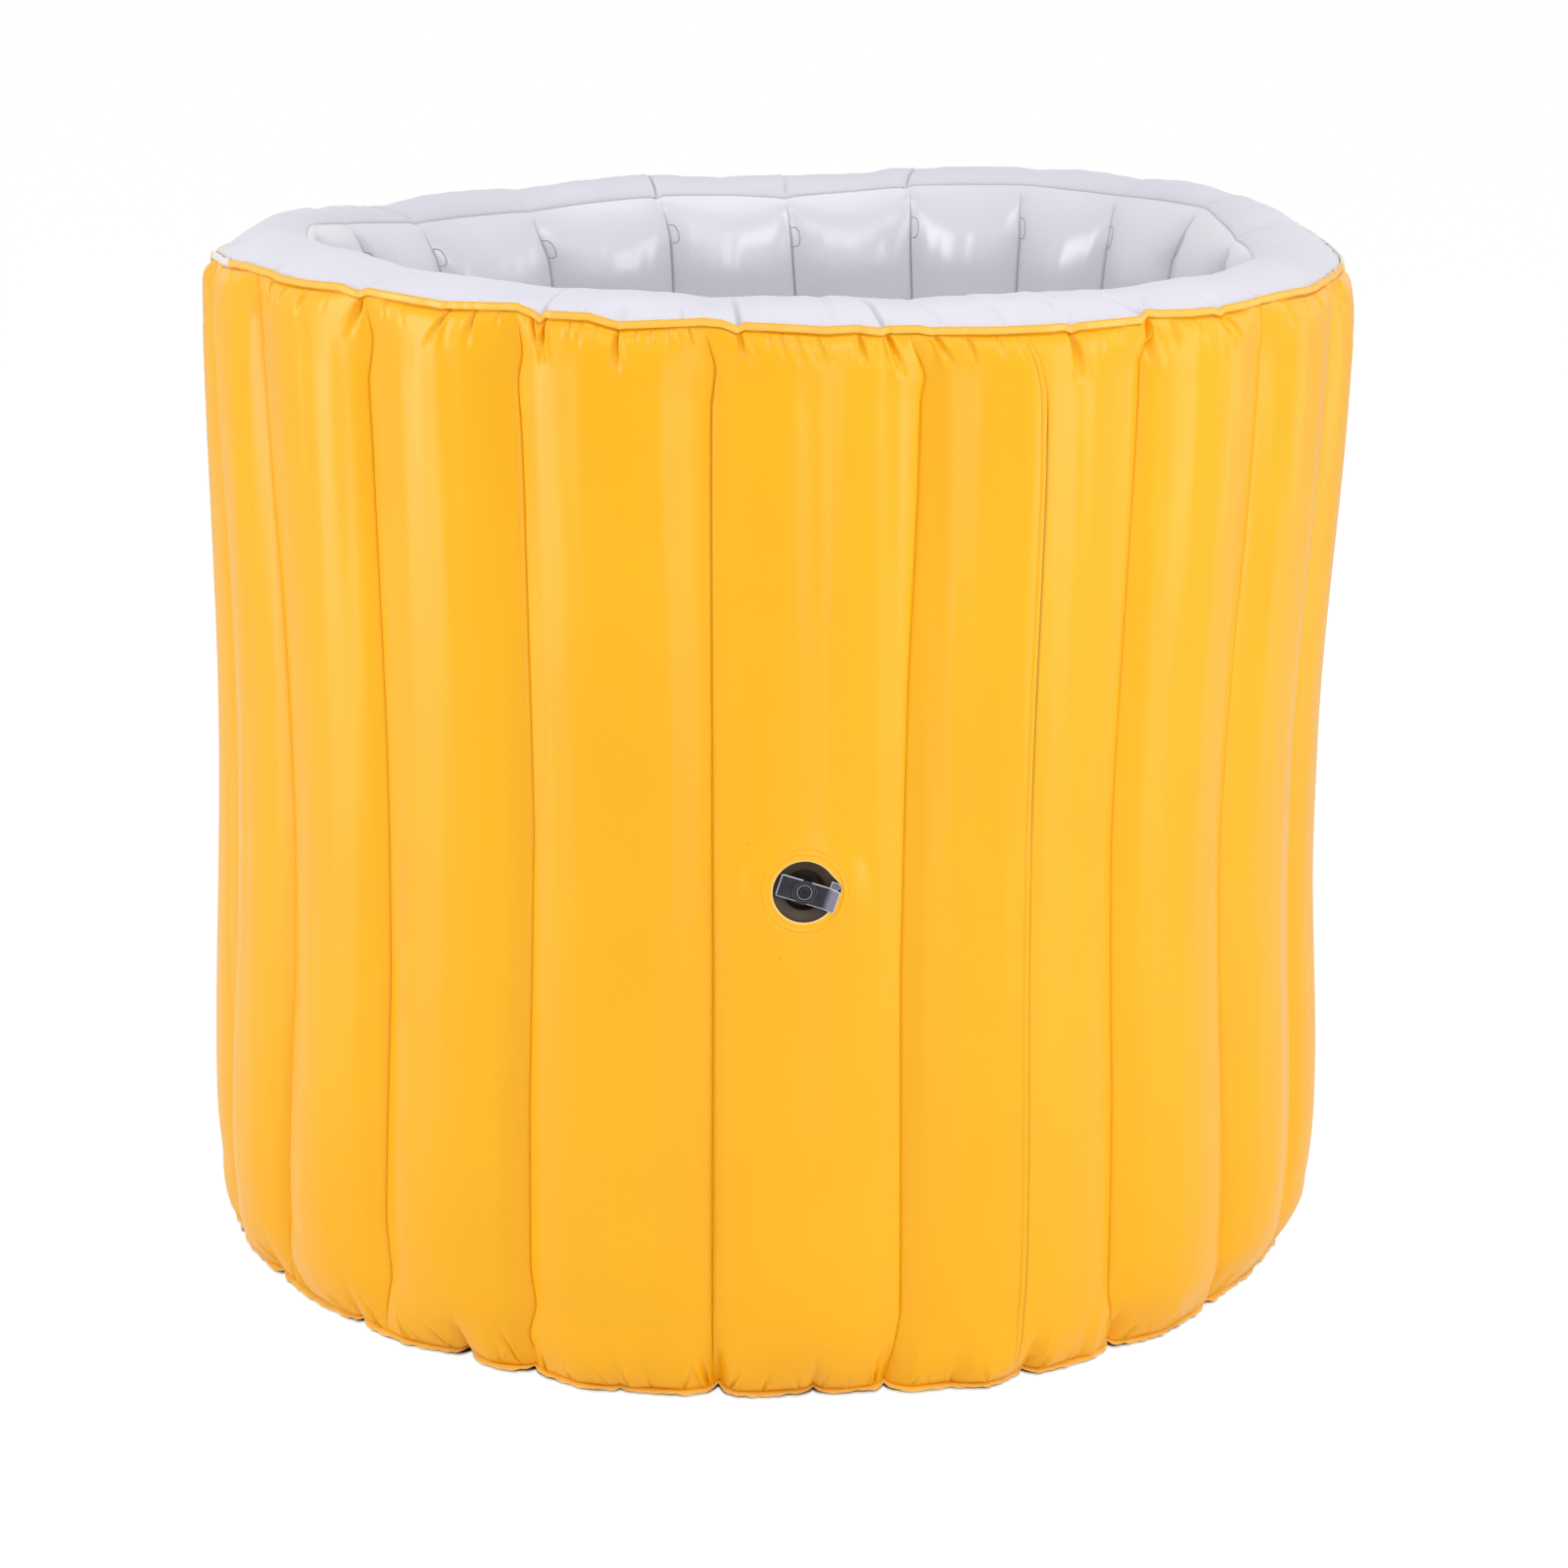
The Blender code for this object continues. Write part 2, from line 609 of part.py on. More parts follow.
def make_spring(finishes, axis, head_back):
    high = head_back - RUNNING_GAP - SPRING_WIRE_RADIUS
    low = -SPRING_POCKET_END + RUNNING_GAP + SPRING_WIRE_RADIUS
    count = SPRING_TURNS * SPRING_POINTS_PER_TURN
    points = []
    for step in range(count + 1):
        turn = math.tau * step / SPRING_POINTS_PER_TURN
        height = mix(low, high, step / count)
        points.append(Vector((SPRING_RADIUS * math.cos(turn), SPRING_RADIUS * math.sin(turn), height)))
    gaps = [
        (b - a).length - 2 * SPRING_WIRE_RADIUS
        for index, a in enumerate(points)
        for b in points[index + SPRING_POINTS_PER_TURN - 1:]
    ]
    print(f"valve_spring: least gap between its turns {min(gaps) * 1000:.2f} mm")
    curve = bpy.data.curves.new("valve_spring", "CURVE")
    curve.dimensions = "3D"
    curve.bevel_depth = SPRING_WIRE_RADIUS
    curve.bevel_resolution = 1
    curve.use_fill_caps = True
    line = curve.splines.new("POLY")
    line.points.add(len(points) - 1)
    for target, point in zip(line.points, points):
        target.co = (*point, 1)
    add_object("valve_spring", curve, finishes["steel"], axis)


def make_drain(finishes, bottom):
    place = add_empty("drain_axis", Matrix.Translation((0, DRAIN_OFFSET, 0)))
    hole_radius = DRAIN_SPIGOT_RADIUS + WELD_GAP
    hole = rod_mesh("drain_hole", hole_radius, -CUT_OVERRUN, SHEET + CUT_OVERRUN, ROUND_SIDES)
    boolean(bottom, add_object("drain_hole", hole, None, place), "DIFFERENCE")
    seat = SHEET + WELD_GAP
    top = seat + DRAIN_FLANGE_THICKNESS
    profile = [
        (DRAIN_FLANGE_RADIUS, seat),
        (DRAIN_FLANGE_RADIUS, top),
        (DRAIN_BORE_RADIUS, top),
        (DRAIN_BORE_RADIUS, DRAIN_FLOOR_GAP),
        (DRAIN_SPIGOT_RADIUS, DRAIN_FLOOR_GAP),
        (DRAIN_SPIGOT_RADIUS, seat),
    ]
    add_object("drain_fitting", turned_mesh("drain_fitting", profile, ROUND_SIDES), finishes["soft"], place)
    head = top + RUNNING_GAP
    body = DRAIN_BORE_RADIUS - RUNNING_GAP
    head_top = head + PLUG_HEAD_THICKNESS
    profile = [
        (0, DRAIN_FLOOR_GAP),
        (body - PLUG_TAPER, DRAIN_FLOOR_GAP),
        (body, head),
        (PLUG_HEAD_RADIUS, head),
        (PLUG_HEAD_RADIUS, head_top),
        (0, head_top),
    ]
    plug_mesh = turned_mesh("drain_plug", profile, ROUND_SIDES)
    plug = add_object("drain_plug", plug_mesh, finishes["rubber"], place)
    loop = turned_mesh("pull_loop", pull_loop_profile(), FINE_SIDES)
    tool = add_object("pull_loop", loop, None, place)
    tool.location = (0, 0, head_top + PULL_WIRE_RADIUS)
    tool.rotation_euler = (math.pi / 2, 0, 0)
    boolean(plug, tool, "UNION")


def pull_loop_profile():
    profile = []
    sides = FINE_SIDES // 2
    for step in range(sides):
        turn = math.tau * step / sides
        radius = PULL_RADIUS + PULL_WIRE_RADIUS * math.cos(turn)
        profile.append((radius, PULL_WIRE_RADIUS * math.sin(turn)))
    return profile


def make_finishes():
    return {
        "yellow": material("yellow_sheet", (0.97, 0.50, 0.03), 0.42),
        "grey": material("grey_sheet", (0.66, 0.65, 0.70), 0.28),
        "rim": material("pale_grey_sheet", (0.78, 0.77, 0.83), 0.34),
        "smoke": material("smoked_plastic", (0.035, 0.027, 0.025), 0.25),
        "clear": material("clear_plastic", (0.62, 0.63, 0.68), 0.12, alpha=0.5),
        "soft": material("soft_dark_plastic", (0.08, 0.08, 0.09), 0.5),
        "rubber": material("rubber", (0.05, 0.05, 0.055), 0.65),
        "steel": material("spring_steel", (0.60, 0.60, 0.62), 0.3, metallic=1.0),
    }


def main():
    for leftover in list(bpy.data.objects):
        bpy.data.objects.remove(leftover)
    finishes = make_finishes()
    outer, bottom = make_skins(finishes)
    make_baffles(finishes)
    axis = add_empty("valve_axis", valve_place())
    make_valve_seat(finishes, axis, outer)
    make_wing(finishes, axis)
    make_lug(finishes, axis)
    make_stem(finishes, axis)
    make_drain(finishes, bottom)


main()
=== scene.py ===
"""Looks of the inflatable bathtub: coated sheet skins with welded hems, folds and creases,
the air valve in its pad, and the floor drain."""

import math
import random

import bmesh
import bpy
import numpy as np
from mathutils import Matrix, Vector


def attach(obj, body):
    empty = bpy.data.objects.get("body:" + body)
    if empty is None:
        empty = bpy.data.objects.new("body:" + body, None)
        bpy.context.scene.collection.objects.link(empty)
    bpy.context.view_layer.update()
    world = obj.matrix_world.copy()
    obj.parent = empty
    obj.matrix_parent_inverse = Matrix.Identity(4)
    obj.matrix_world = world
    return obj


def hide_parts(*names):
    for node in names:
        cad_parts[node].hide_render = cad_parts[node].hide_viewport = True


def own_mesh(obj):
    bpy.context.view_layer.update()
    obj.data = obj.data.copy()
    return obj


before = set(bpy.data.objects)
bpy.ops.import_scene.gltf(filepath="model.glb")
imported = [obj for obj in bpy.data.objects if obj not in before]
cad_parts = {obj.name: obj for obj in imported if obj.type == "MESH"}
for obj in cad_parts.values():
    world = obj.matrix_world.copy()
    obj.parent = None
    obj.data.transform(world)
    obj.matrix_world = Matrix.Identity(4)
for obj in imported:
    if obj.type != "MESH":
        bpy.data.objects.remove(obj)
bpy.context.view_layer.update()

MM = 0.001

# Camera: place, downward pitch, yaw and roll, and focal length as a share of the picture's width
EYE = Vector((0.0, -3.0259, 1.1335))
PITCH, YAW, ROLL = 0.2599, 0.0041, 0.0197
FOCAL_SHARE = 4278.5 / 1601
SENSOR = 36.0

# Wall, as in the solids
SEAM_HEIGHT = 0.735
BAND = 0.0049
TUB_RADIUS = 0.405
RIM_CROWN = 0.0145
OUTER_CREASE = 0.393
OUTER_CREST = 0.406
SHOULDER_HEIGHT = 0.685
SHOULDER_CREASE = 0.3975
SHOULDER_CREST = 0.4135
HAUNCH_HEIGHT = 0.110
HAUNCH_CREST = 0.410
WAIST_HEIGHT = 0.400
WELD_HEIGHT = 0.0054
WELD_RADIUS = 0.3850
FLANGE_EDGE = (0.3905, 0.0016)
INNER_SEAM = 0.3510
INNER_CREASE = 0.338
INNER_CREST = 0.3245
INNER_CURL = 0.065
INNER_FOOT = 0.345
PANEL_WIDTH = 0.054
FLANGE_DROP = 0.0037
FOLD_GAIN, FOOT_GAIN = 1.8, 2.6  # how much deeper folds are than their tables say
PUFF_HEIGHT, PUFF_DROP = 2.2 * MM, 11 * MM  # the bulge just under the hem

# Upright creases of the outer skin, from the one left of the valve: (height, degrees from the front)
OUTER_CREASES = [
    [(0, -4.2), (0.03, -4.4), (0.30, -4.9), (0.40, -5.2), (0.62, -5.7), (0.681, -5.8), (0.704, -5.4),
     (0.735, -6.7)],
    [(0, 13.2), (0.02, 13.4), (0.06, 14.2), (0.30, 13.3), (0.50, 13.2), (0.62, 13.5), (0.687, 13.5),
     (0.703, 13.9), (0.735, 11.5)],
    [(0, 40.4), (0.02, 39.3), (0.05, 37.8), (0.10, 37.5), (0.20, 37.2), (0.38, 36.1), (0.62, 36.5), (0.690, 36.6),
     (0.704, 36.3), (0.716, 37.6), (0.735, 36.2)],
    [(0, 57.0), (0.03, 56.4), (0.07, 55.9), (0.26, 53.8), (0.36, 52.7), (0.50, 53.4), (0.64, 54.4), (0.69, 54.6),
     (0.711, 54.2), (0.735, 52.8)],
    [(0, 72.0), (0.10, 72.0), (0.40, 71.0), (0.60, 72.0), (0.735, 73.0)],
    [86.0],
    [100.5],
    [115.0],
    [132.5],
    [146.8],
    [162.4],
    [178.6],
    [196.5],
    [214.0],
    [233.0],
    [251.0],
    [269.0],
    [(0, 286.0), (0.06, 285.5), (0.24, 287.0), (0.40, 287.0), (0.52, 286.0), (0.70, 283.0), (0.735, 284.5)],
    [(0, 301.4), (0.06, 302.4), (0.24, 303.9), (0.35, 303.6), (0.52, 301.9), (0.70, 298.6), (0.735, 300.2)],
    [(0, 318.2), (0.01, 318.6), (0.05, 319.9), (0.09, 319.3), (0.27, 319.8), (0.37, 319.6), (0.50, 319.0),
     (0.63, 318.3), (0.68, 317.8), (0.703, 318.7), (0.735, 318.0)],
    [(0, 337.0), (0.01, 337.2), (0.03, 336.4), (0.055, 337.5), (0.08, 336.9), (0.20, 336.7), (0.39, 337.0),
     (0.55, 336.4), (0.612, 336.2), (0.66, 335.9), (0.688, 335.5), (0.705, 336.1), (0.735, 335.7)],
]
LAP_SEAM = [(0, 26.3), (0.12, 26.0), (0.29, 25.6), (0.39, 25.4), (0.56, 25.2), (0.632, 25.1), (0.692, 24.8),
            (0.712, 24.1), (0.735, 22.9)]
LAP_AFTER = 1  # the seam lies in the channel after this crease
LAP_EDGE = 0.7 * MM
LAP_WIDTH = 3.6 * MM

# Inner skin: (height, degrees) where a crease was seen to lean, and otherwise one angle
INNER_CREASES = [
    [-5.2], [13.2], [36.3], [53.6], [71.0], [86.0],
    [(0, 102.0), (0.60, 101.5), (0.70, 100.4), (0.735, 98.8)],
    [(0, 120.0), (0.62, 119.0), (0.69, 117.7), (0.72, 115.3), (0.735, 113.5)],
    [(0, 132.4), (0.66, 131.6), (0.70, 131.0), (0.735, 131.3)],
    [(0, 146.4), (0.65, 145.9), (0.695, 145.7), (0.735, 146.7)],
    [(0, 161.4), (0.65, 161.3), (0.71, 161.9), (0.735, 162.5)],
    [(0, 177.4), (0.65, 177.4), (0.70, 178.1), (0.735, 178.9)],
    [(0, 193.6), (0.66, 194.2), (0.70, 194.6), (0.717, 195.1), (0.735, 196.0)],
    [(0, 211.0), (0.67, 211.7), (0.695, 212.2), (0.715, 213.4), (0.735, 214.0)],
    [(0, 229.0), (0.62, 229.8), (0.69, 230.2), (0.705, 230.8), (0.727, 232.1), (0.735, 232.6)],
    [(0, 247.0), (0.65, 245.0), (0.70, 245.6), (0.72, 247.6), (0.735, 250.3)],
    [269.0], [286.5], [303.3], [319.5], [336.8],
]

# Top hem: (degrees, lift in mm) where it was measured
HEM_LINE = [
    (-78, -4.0), (-70, -2.0), (-63, 2.0), (-57, 2.4), (-56.3, 1.0), (-50.5, 1.2), (-45, 3.7), (-42.4, 0.8),
    (-41.2, 3.8), (-36, 2.7), (-32, 1.5), (-27, 4.0), (-24, 5.2), (-22.4, 1.5), (-21.7, -1.7), (-21.3, 1.8),
    (-17, 2.3), (-14.2, -2.3), (-13.5, -1.4), (-9, 1.2), (-6.5, 2.9), (-4.8, 2.0), (-3.4, -1.7), (-2.8, 0.9),
    (1, 0.2), (4.3, -1.0), (7, 0.0), (9.6, -1.9), (10.2, -0.4), (12.8, -0.3), (14.1, -2.2), (15, -1.8),
    (21, -2.7), (25, -2.7), (27, -2.4), (27.9, -4.6), (28.7, -2.5), (33, -1.9), (35.7, -1.7), (36.4, 2.4),
    (38.4, 0.9), (42, -0.5), (45, -1.0), (46.3, -3.4), (46.9, -1.0), (50, -0.4), (53.3, 0.6), (57, 1.0),
    (60, 0.3), (64, -1.0), (68, 0.4), (74, 1.0), (80, 0.0),
]

# Slow rise and sag of the hem round the back and sides: (degrees, lift in mm)
HEM_SAG = [
    (0, 0), (80, -0.5), (90, -1), (98, 0.5), (105, 4), (113, 4.5), (117, 5), (132, 6.5), (147, 7), (152, 4.5),
    (160, 1),
    (165.4, 0.4), (166.4, -2), (168, -7), (172, -9), (176, -8.5), (179, -7.5), (183, -10.5), (187, -14), (191, -13),
    (195, -8), (198, -9.5), (202, -14.5), (208, -17.5), (216, -17.5), (221, -20), (228, -22), (238, -23),
    (246, -22),
    (254, -20), (262, -17.5), (270, -15), (276, -13.5), (280, -11), (283, -8), (286, -5), (290, -2.5), (297, 0),
]
# The inner seam: (degrees, lift in mm, how far it lies inside its even circle in mm)
SEAM_LINE = [
    (0, 0, 0), (30, 0, 0), (45, 0, 2), (60, 1, 5), (75, 1, 9), (88, 0.5, 11), (98.3, 0.5, 11), (107.8, 7.4, 5),
    (113, 13, 1), (123.4, 11.3, 0), (131.7, 9.6, 0), (139.8, 9.3, 0), (146.6, 9.6, 0), (155.1, 5.7, 0),
    (162.3, 2.5, 0), (163.6, 0.6, 0), (170.3, -4.8, 0), (177.8, -10.1, 0), (179, -11.6, 0), (180.6, -11.3, 0),
    (186.4, -10.1, 0), (192.2, -10.1, 0), (195.2, -10.3, 0), (196.6, -11.4, 0), (199.1, -11.9, 0),
    (205.6, -14.6, 0), (213.4, -18.7, 0), (222.7, -19.0, 0), (231.6, -19.6, 0), (233, -19.2, 0.5), (240, -14.8, 3),
    (250.7, -8.4, 6), (258.8, -3.0, 9), (268, 3.7, 13), (276, 4, 14), (285, 3, 12), (300, 2, 9), (315, 1, 4),
    (330, 0, 0),
]
# Change in the crown of the top panel: (degrees, mm)
CROWN_LINE = [
    (0, 0), (60, 0), (75, -1), (88, -2), (98, 0), (105, 2), (113, 0.5), (120, 1.5), (132, 0.5), (147, -1.2),
    (160, -1),
    (166, 0), (170, -1.3), (179, 1.2), (187, -1.3), (195, 0.6), (202, 1.5), (208, 1), (216, 1.8), (221, 3),
    (228, 3),
    (238, -0.5), (246, 1.7), (254, 2.5), (262, 0.5), (270, -1.5), (280, -1.5), (290, 2), (300, 4), (310, 4),
    (320, 1),
    (330, 0),
]
# Where the hem stands open at the far corners, with its pale cut edge and painted shade in the opening: (degrees,
# share)
HEM_OPEN = [
    (0, 0), (70.6, 0), (71.6, 0.9), (72.4, 0.1), (73.6, 0.1), (74.4, 0.9), (75.2, 0), (81, 0), (83, 0.8), (90, 1),
    (98, 0.9), (103, 0), (281, 0), (284, 0.6), (287.5, 1), (289, 0.2), (290.6, 0.9), (291.6, 0),
]

# Where the hem turns its pale inner side outwards: (degrees, share)
HEM_LIP = [(0, 0), (79, 0), (82, 1), (103, 1), (108, 0), (281, 0), (284, 1), (291, 1), (292.5, 0)]

# Folds under the top hem: (degrees at the hem, degrees at its tip, length, depth and half-width in mm, side of
# its ridge)
HEM_FOLDS = [
    (-70.5, -71.5, 24, 1.6, 3.0, 1), (-66.0, -66.3, 18, 1.2, 2.6, -1), (-60.0, -60.5, 16, 1.3, 2.4, 1),
    (-56.4, -56.9, 20, 1.8, 2.6, 1), (-53.2, -54.3, 20, 1.6, 2.6, -1), (-49.8, -50.5, 19, 1.8, 2.8, -1),
    (-46.3, -46.9, 14, 1.0, 2.2, 1), (-42.2, -43.8, 26, 3.0, 2.8, -1), (-38.6, -38.9, 15, 1.1, 2.2, 1),
    (-36.2, -36.0, 14, 1.0, 2.2, 1), (-31.2, -32.9, 22, 2.8, 2.4, 1), (-28.4, -29.0, 24, 2.3, 2.4, 1),
    (-25.9, -26.2, 12, 1.0, 2.0, 1), (-22.6, -21.6, 25, 2.6, 2.6, 1), (-21.3, -21.5, 26, 3.2, 2.2, 1),
    (-18.8, -18.4, 14, 1.3, 2.2, -1), (-17.6, -17.8, 17, 1.4, 2.2, 1), (-16.2, -16.3, 14, 1.1, 2.0, -1),
    (-14.3, -14.0, 30, 3.0, 2.6, 1), (-12.6, -12.3, 13, 1.1, 2.0, 1), (-11.2, -11.0, 13, 1.1, 2.0, 1),
    (-9.6, -9.4, 12, 0.9, 2.0, 1), (-7.9, -7.5, 14, 1.0, 2.0, -1), (-3.2, -2.4, 24, 2.6, 2.6, 1),
    (-0.6, -0.3, 14, 0.9, 2.2, 1), (0.5, 1.1, 20, 1.2, 2.4, 1), (1.9, 2.3, 18, 1.1, 2.4, 1),
    (3.8, 4.3, 18, 1.7, 2.6, 1), (7.4, 8.0, 21, 2.6, 2.4, -1), (10.0, 11.5, 26, 3.4, 2.6, -1),
    (14.4, 16.2, 20, 2.4, 2.8, -1), (17.4, 18.3, 22, 1.9, 2.4, -1), (20.1, 20.9, 15, 1.3, 2.2, -1),
    (22.2, 22.6, 14, 0.9, 2.0, -1), (27.8, 28.3, 30, 3.2, 3.0, 1), (30.6, 30.7, 16, 1.0, 2.2, -1),
    (32.8, 33.0, 14, 0.9, 2.2, 1), (36.6, 37.6, 32, 3.2, 2.8, 1), (39.4, 39.9, 18, 1.2, 2.4, 1),
    (42.3, 43.4, 20, 1.2, 2.6, -1), (45.6, 47.5, 26, 1.9, 2.6, -1), (46.6, 49.3, 24, 1.8, 2.4, 1),
    (53.0, 53.4, 30, 2.4, 2.6, -1), (57.6, 58.6, 18, 1.3, 2.6, 1), (61.0, 62.0, 16, 1.1, 2.4, -1),
    (64.2, 66.0, 20, 1.5, 2.6, 1), (69.0, 70.0, 20, 1.6, 2.8, -1), (75.0, 75.6, 24, 2.0, 2.8, 1),
]

# Foot hem: (degrees, lift mm, tuck mm) of each notch
FOOT_NOTCHES = [
    (-75, 4, 4), (-62, 3.5, 4), (-45.5, 4, 5), (-31.3, 7, 8), (-23.2, 4, 5), (-13.5, 2, 3), (-3.9, 6, 8),
    (5.8, 5, 6), (13.2, 5.5, 8), (28.3, 4, 5), (39.9, 7, 8), (56.7, 7, 9), (70, 4, 5),
]

# Wrinkles over the foot weld, as the folds under the top hem
FOOT_WRINKLES = [
    (-61.0, -65.0, 22, 1.6, 2.2, 1), (-53.5, -57.5, 24, 1.6, 2.2, -1), (-47.0, -50.0, 18, 1.8, 2.2, 1),
    (-42.6, -43.8, 20, 1.6, 2.0, -1), (-38.3, -39.0, 22, 1.4, 2.0, 1), (-32.4, -35.2, 20, 2.6, 2.4, 1),
    (-24.6, -26.6, 34, 1.8, 2.2, 1), (-21.8, -22.0, 16, 1.4, 1.8, -1), (-18.6, -18.9, 14, 0.9, 1.8, 1),
    (-12.6, -13.2, 20, 1.2, 2.0, 1), (-10.4, -11.0, 12, 0.8, 1.8, -1), (-4.9, -5.6, 26, 2.2, 2.2, -1),
    (-2.6, -1.4, 16, 2.0, 2.0, 1), (4.4, 3.8, 13, 1.0, 1.8, -1), (6.6, 7.0, 16, 1.2, 1.8, 1),
    (12.0, 12.4, 24, 2.2, 2.2, -1), (15.8, 16.4, 14, 1.0, 1.8, 1), (20.0, 19.6, 14, 0.9, 1.8, -1),
    (29.6, 30.6, 18, 1.6, 2.0, 1), (38.9, 38.4, 22, 2.2, 2.2, -1), (41.6, 43.0, 20, 1.6, 2.0, 1),
    (47.0, 48.0, 16, 1.2, 2.0, 1), (55.4, 54.6, 22, 1.8, 2.2, -1), (58.6, 60.4, 18, 1.4, 2.0, 1),
    (66.0, 67.0, 18, 1.4, 2.2, 1),
]

# How far the foot hem stands out of its even circle: (degrees, mm)
FOOT_LINE = [
    (-100, 5), (-84, 7), (-75, 7), (-67, 4.5), (-63, 1), (-58, 2), (-54, 2), (-47.6, 1), (-41.7, 3), (-38.9, 3.5),
    (-34.7, -1), (-31.1, -4), (-27.9, 1), (-24, -2.5), (-21.8, 1), (-17.6, 7.5), (-14, 6.5), (-12.2, 6.5),
    (-10.6, 2),
    (-7, 2), (-3.7, -5), (-2, 1), (0, 0), (3.6, -3), (5.5, -4), (9, -3.5), (12.8, -5), (16, 2), (20, -1), (21.5, 5),
    (23.2, 9), (25.3, 7), (28.2, -2), (29.7, 3.5), (34.6, -1), (36.4, 2.5), (39.6, -3), (43.4, -3), (44.8, -1),
    (47, 2), (51, -2), (54, -1), (60, -5), (64, -3), (68.7, 0), (76.6, 3), (85, 7), (100, 4), (110, 1), (121, -3),
    (133, 2), (148, -2), (160, 3), (176, -1), (190, 2), (204, -3), (217, 2), (232, -2), (246, 3),
]
# How far the lower wall stands out: (degrees, mm)
HAUNCH_LINE = [
    (-90, 0.5), (-75, 2.5), (-58, 4), (-41, 2.5), (-22, 1), (0, 0), (20, 1), (37, 3.5), (56, 4.5), (72, 7.5),
    (90, 8), (115, 4), (180, 3), (240, 3),
]

# How far the shoulder stands out: (degrees, mm)
SHOULDER_LINE = [(-100, -1), (-70, -1), (-50, 0), (50, 0), (70, 2), (90, 3), (110, 2), (130, 0)]

# Dimples in the top panel: (degrees at the outer hem, degrees at the tip, reach in from the hem as a share
# of the panel, depth mm, half-width mm)
TOP_DIMPLES = [
    (-57.2, -56.0, 0.20, 2.0, 2.2), (-41.6, -38.8, 0.42, 2.8, 2.6), (-21.7, -20.9, 0.46, 3.0, 2.0),
    (-8.4, -8.8, 0.20, 0.9, 1.8), (-3.3, -4.2, 0.52, 3.2, 2.4), (5.2, 3.6, 0.95, 1.0, 6.0),
    (9.8, 8.2, 0.55, 3.4, 2.4), (15.2, 12.9, 0.75, 1.1, 4.5), (21.4, 17.6, 0.95, 1.4, 4.5),
    (27.9, 23.0, 0.95, 2.2, 3.6), (36.1, 33.3, 0.40, 3.4, 2.0), (37.5, 35.6, 0.34, 2.2, 1.8),
    (46.4, 44.9, 0.22, 2.4, 2.0), (53.4, 51.3, 0.26, 2.0, 1.8), (66, 65, 0.2, 1.6, 2.4),
    (-70, -69, 0.24, 1.6, 2.4),
]
# Folds that run in from the inner seam over the panel: (degrees at the seam, degrees at the tip, reach, depth
# and half-width in mm)
SEAM_FOLDS = [
    (196.1, 196.8, 0.92, 3.8, 1.5), (163.2, 162.8, 0.95, 3.0, 1.8), (179.0, 179.6, 0.80, 1.6, 2.2),
    (232.9, 240.5, 0.46, 3.2, 1.6), (214.2, 215.4, 0.20, 1.2, 1.8), (146.6, 146.0, 0.16, 1.0, 1.8),
    (113.4, 110.5, 0.26, 1.2, 2.0), (98.6, 93.0, 0.45, 1.0, 2.4), (250.4, 252.0, 0.24, 1.4, 2.0),
]

# Air valve
VALVE_ANGLE = math.radians(3.584)
VALVE_HEIGHT = 0.364
PAD_FACE = 0.4068
MOUTH_HOLE = 0.0211
PATCH_RADIUS = 0.0488
PAD_FLAT, PAD_BLEND = 0.025, 0.046
WING_TILT = math.radians(-17.0)
WELD_GROOVES = ((0.0247, 0.34), (0.0283, 0.46))  # radius, and depth in mm
WELD_RIDGE = 0.0265

# Drain
DRAIN_PLACE = Vector((0, 0.200, 0))
DRAIN_HOLE = 0.0198
FLOOR_FACE = 0.0020

FRONT_COLUMNS, SEAM_COLUMNS, BACK_COLUMNS = 160, 96, 64  # between two upright lines of the outer skin
INNER_COLUMNS = 42
draw = random.Random(5)


def smooth(low, high, value):
    share = np.clip((value - low) / (high - low), 0, 1)
    return share * share * (3 - 2 * share)


def bell(reach, width=1):
    return np.exp(-((reach / width) ** 2))


def ring_place(radius, angle, height):
    return np.stack([radius * np.sin(angle), -radius * np.cos(angle), height], axis=-1)


def path_angle(path, heights):
    """Angle of an upright line at some heights, with its kinks a little eased."""
    if len(path) == 1:
        return np.full_like(heights, math.radians(path[0]))
    high, turn = zip(*path)
    taps = [np.interp(heights + shift * 0.0022, high, turn) for shift in (-2, -1, 0, 1, 2)]
    return np.radians(np.mean(taps, axis=0))


def leaning(angle, top_kink, lean):
    """A made-up path for a crease at the back: nearly upright, with a kink below the hem."""
    stops = [(0, draw.uniform(-1.2, 1.2)), (0.05, draw.uniform(-0.7, 0.7)), (0.10, 0), (0.40, lean),
             (0.62, lean * 0.4), (0.685, draw.uniform(-0.4, 0.4)), (0.705, top_kink), (0.735, -top_kink)]
    return [(height, angle + shift) for height, shift in stops]


def around(table, first, last, step_range, value):
    """Fill the unmeasured part of the round, between two angles, with values drawn at uneven steps."""
    filled = list(table)
    angle = first
    while angle < last:
        filled.append((angle, *value()))
        angle += draw.uniform(*step_range)
    return sorted(filled)


def periodic(table, angles):
    """Straight-line values of (degrees, value) all the way round."""
    turn, value = zip(*sorted((a % 360, v) for a, v in table))
    return np.interp(np.degrees(angles) % 360, turn, value, period=360)


def apart(angles, centre):
    """Signed angle from centre, between -pi and pi."""
    return (angles - centre + math.pi) % math.tau - math.pi


def columns_between(count, evenness):
    """Shares from one upright line to the next, closer together near the lines."""
    even = np.arange(count) / count
    eased = (1 - np.cos(math.pi * even)) / 2
    return (1 - evenness) * eased + evenness * even


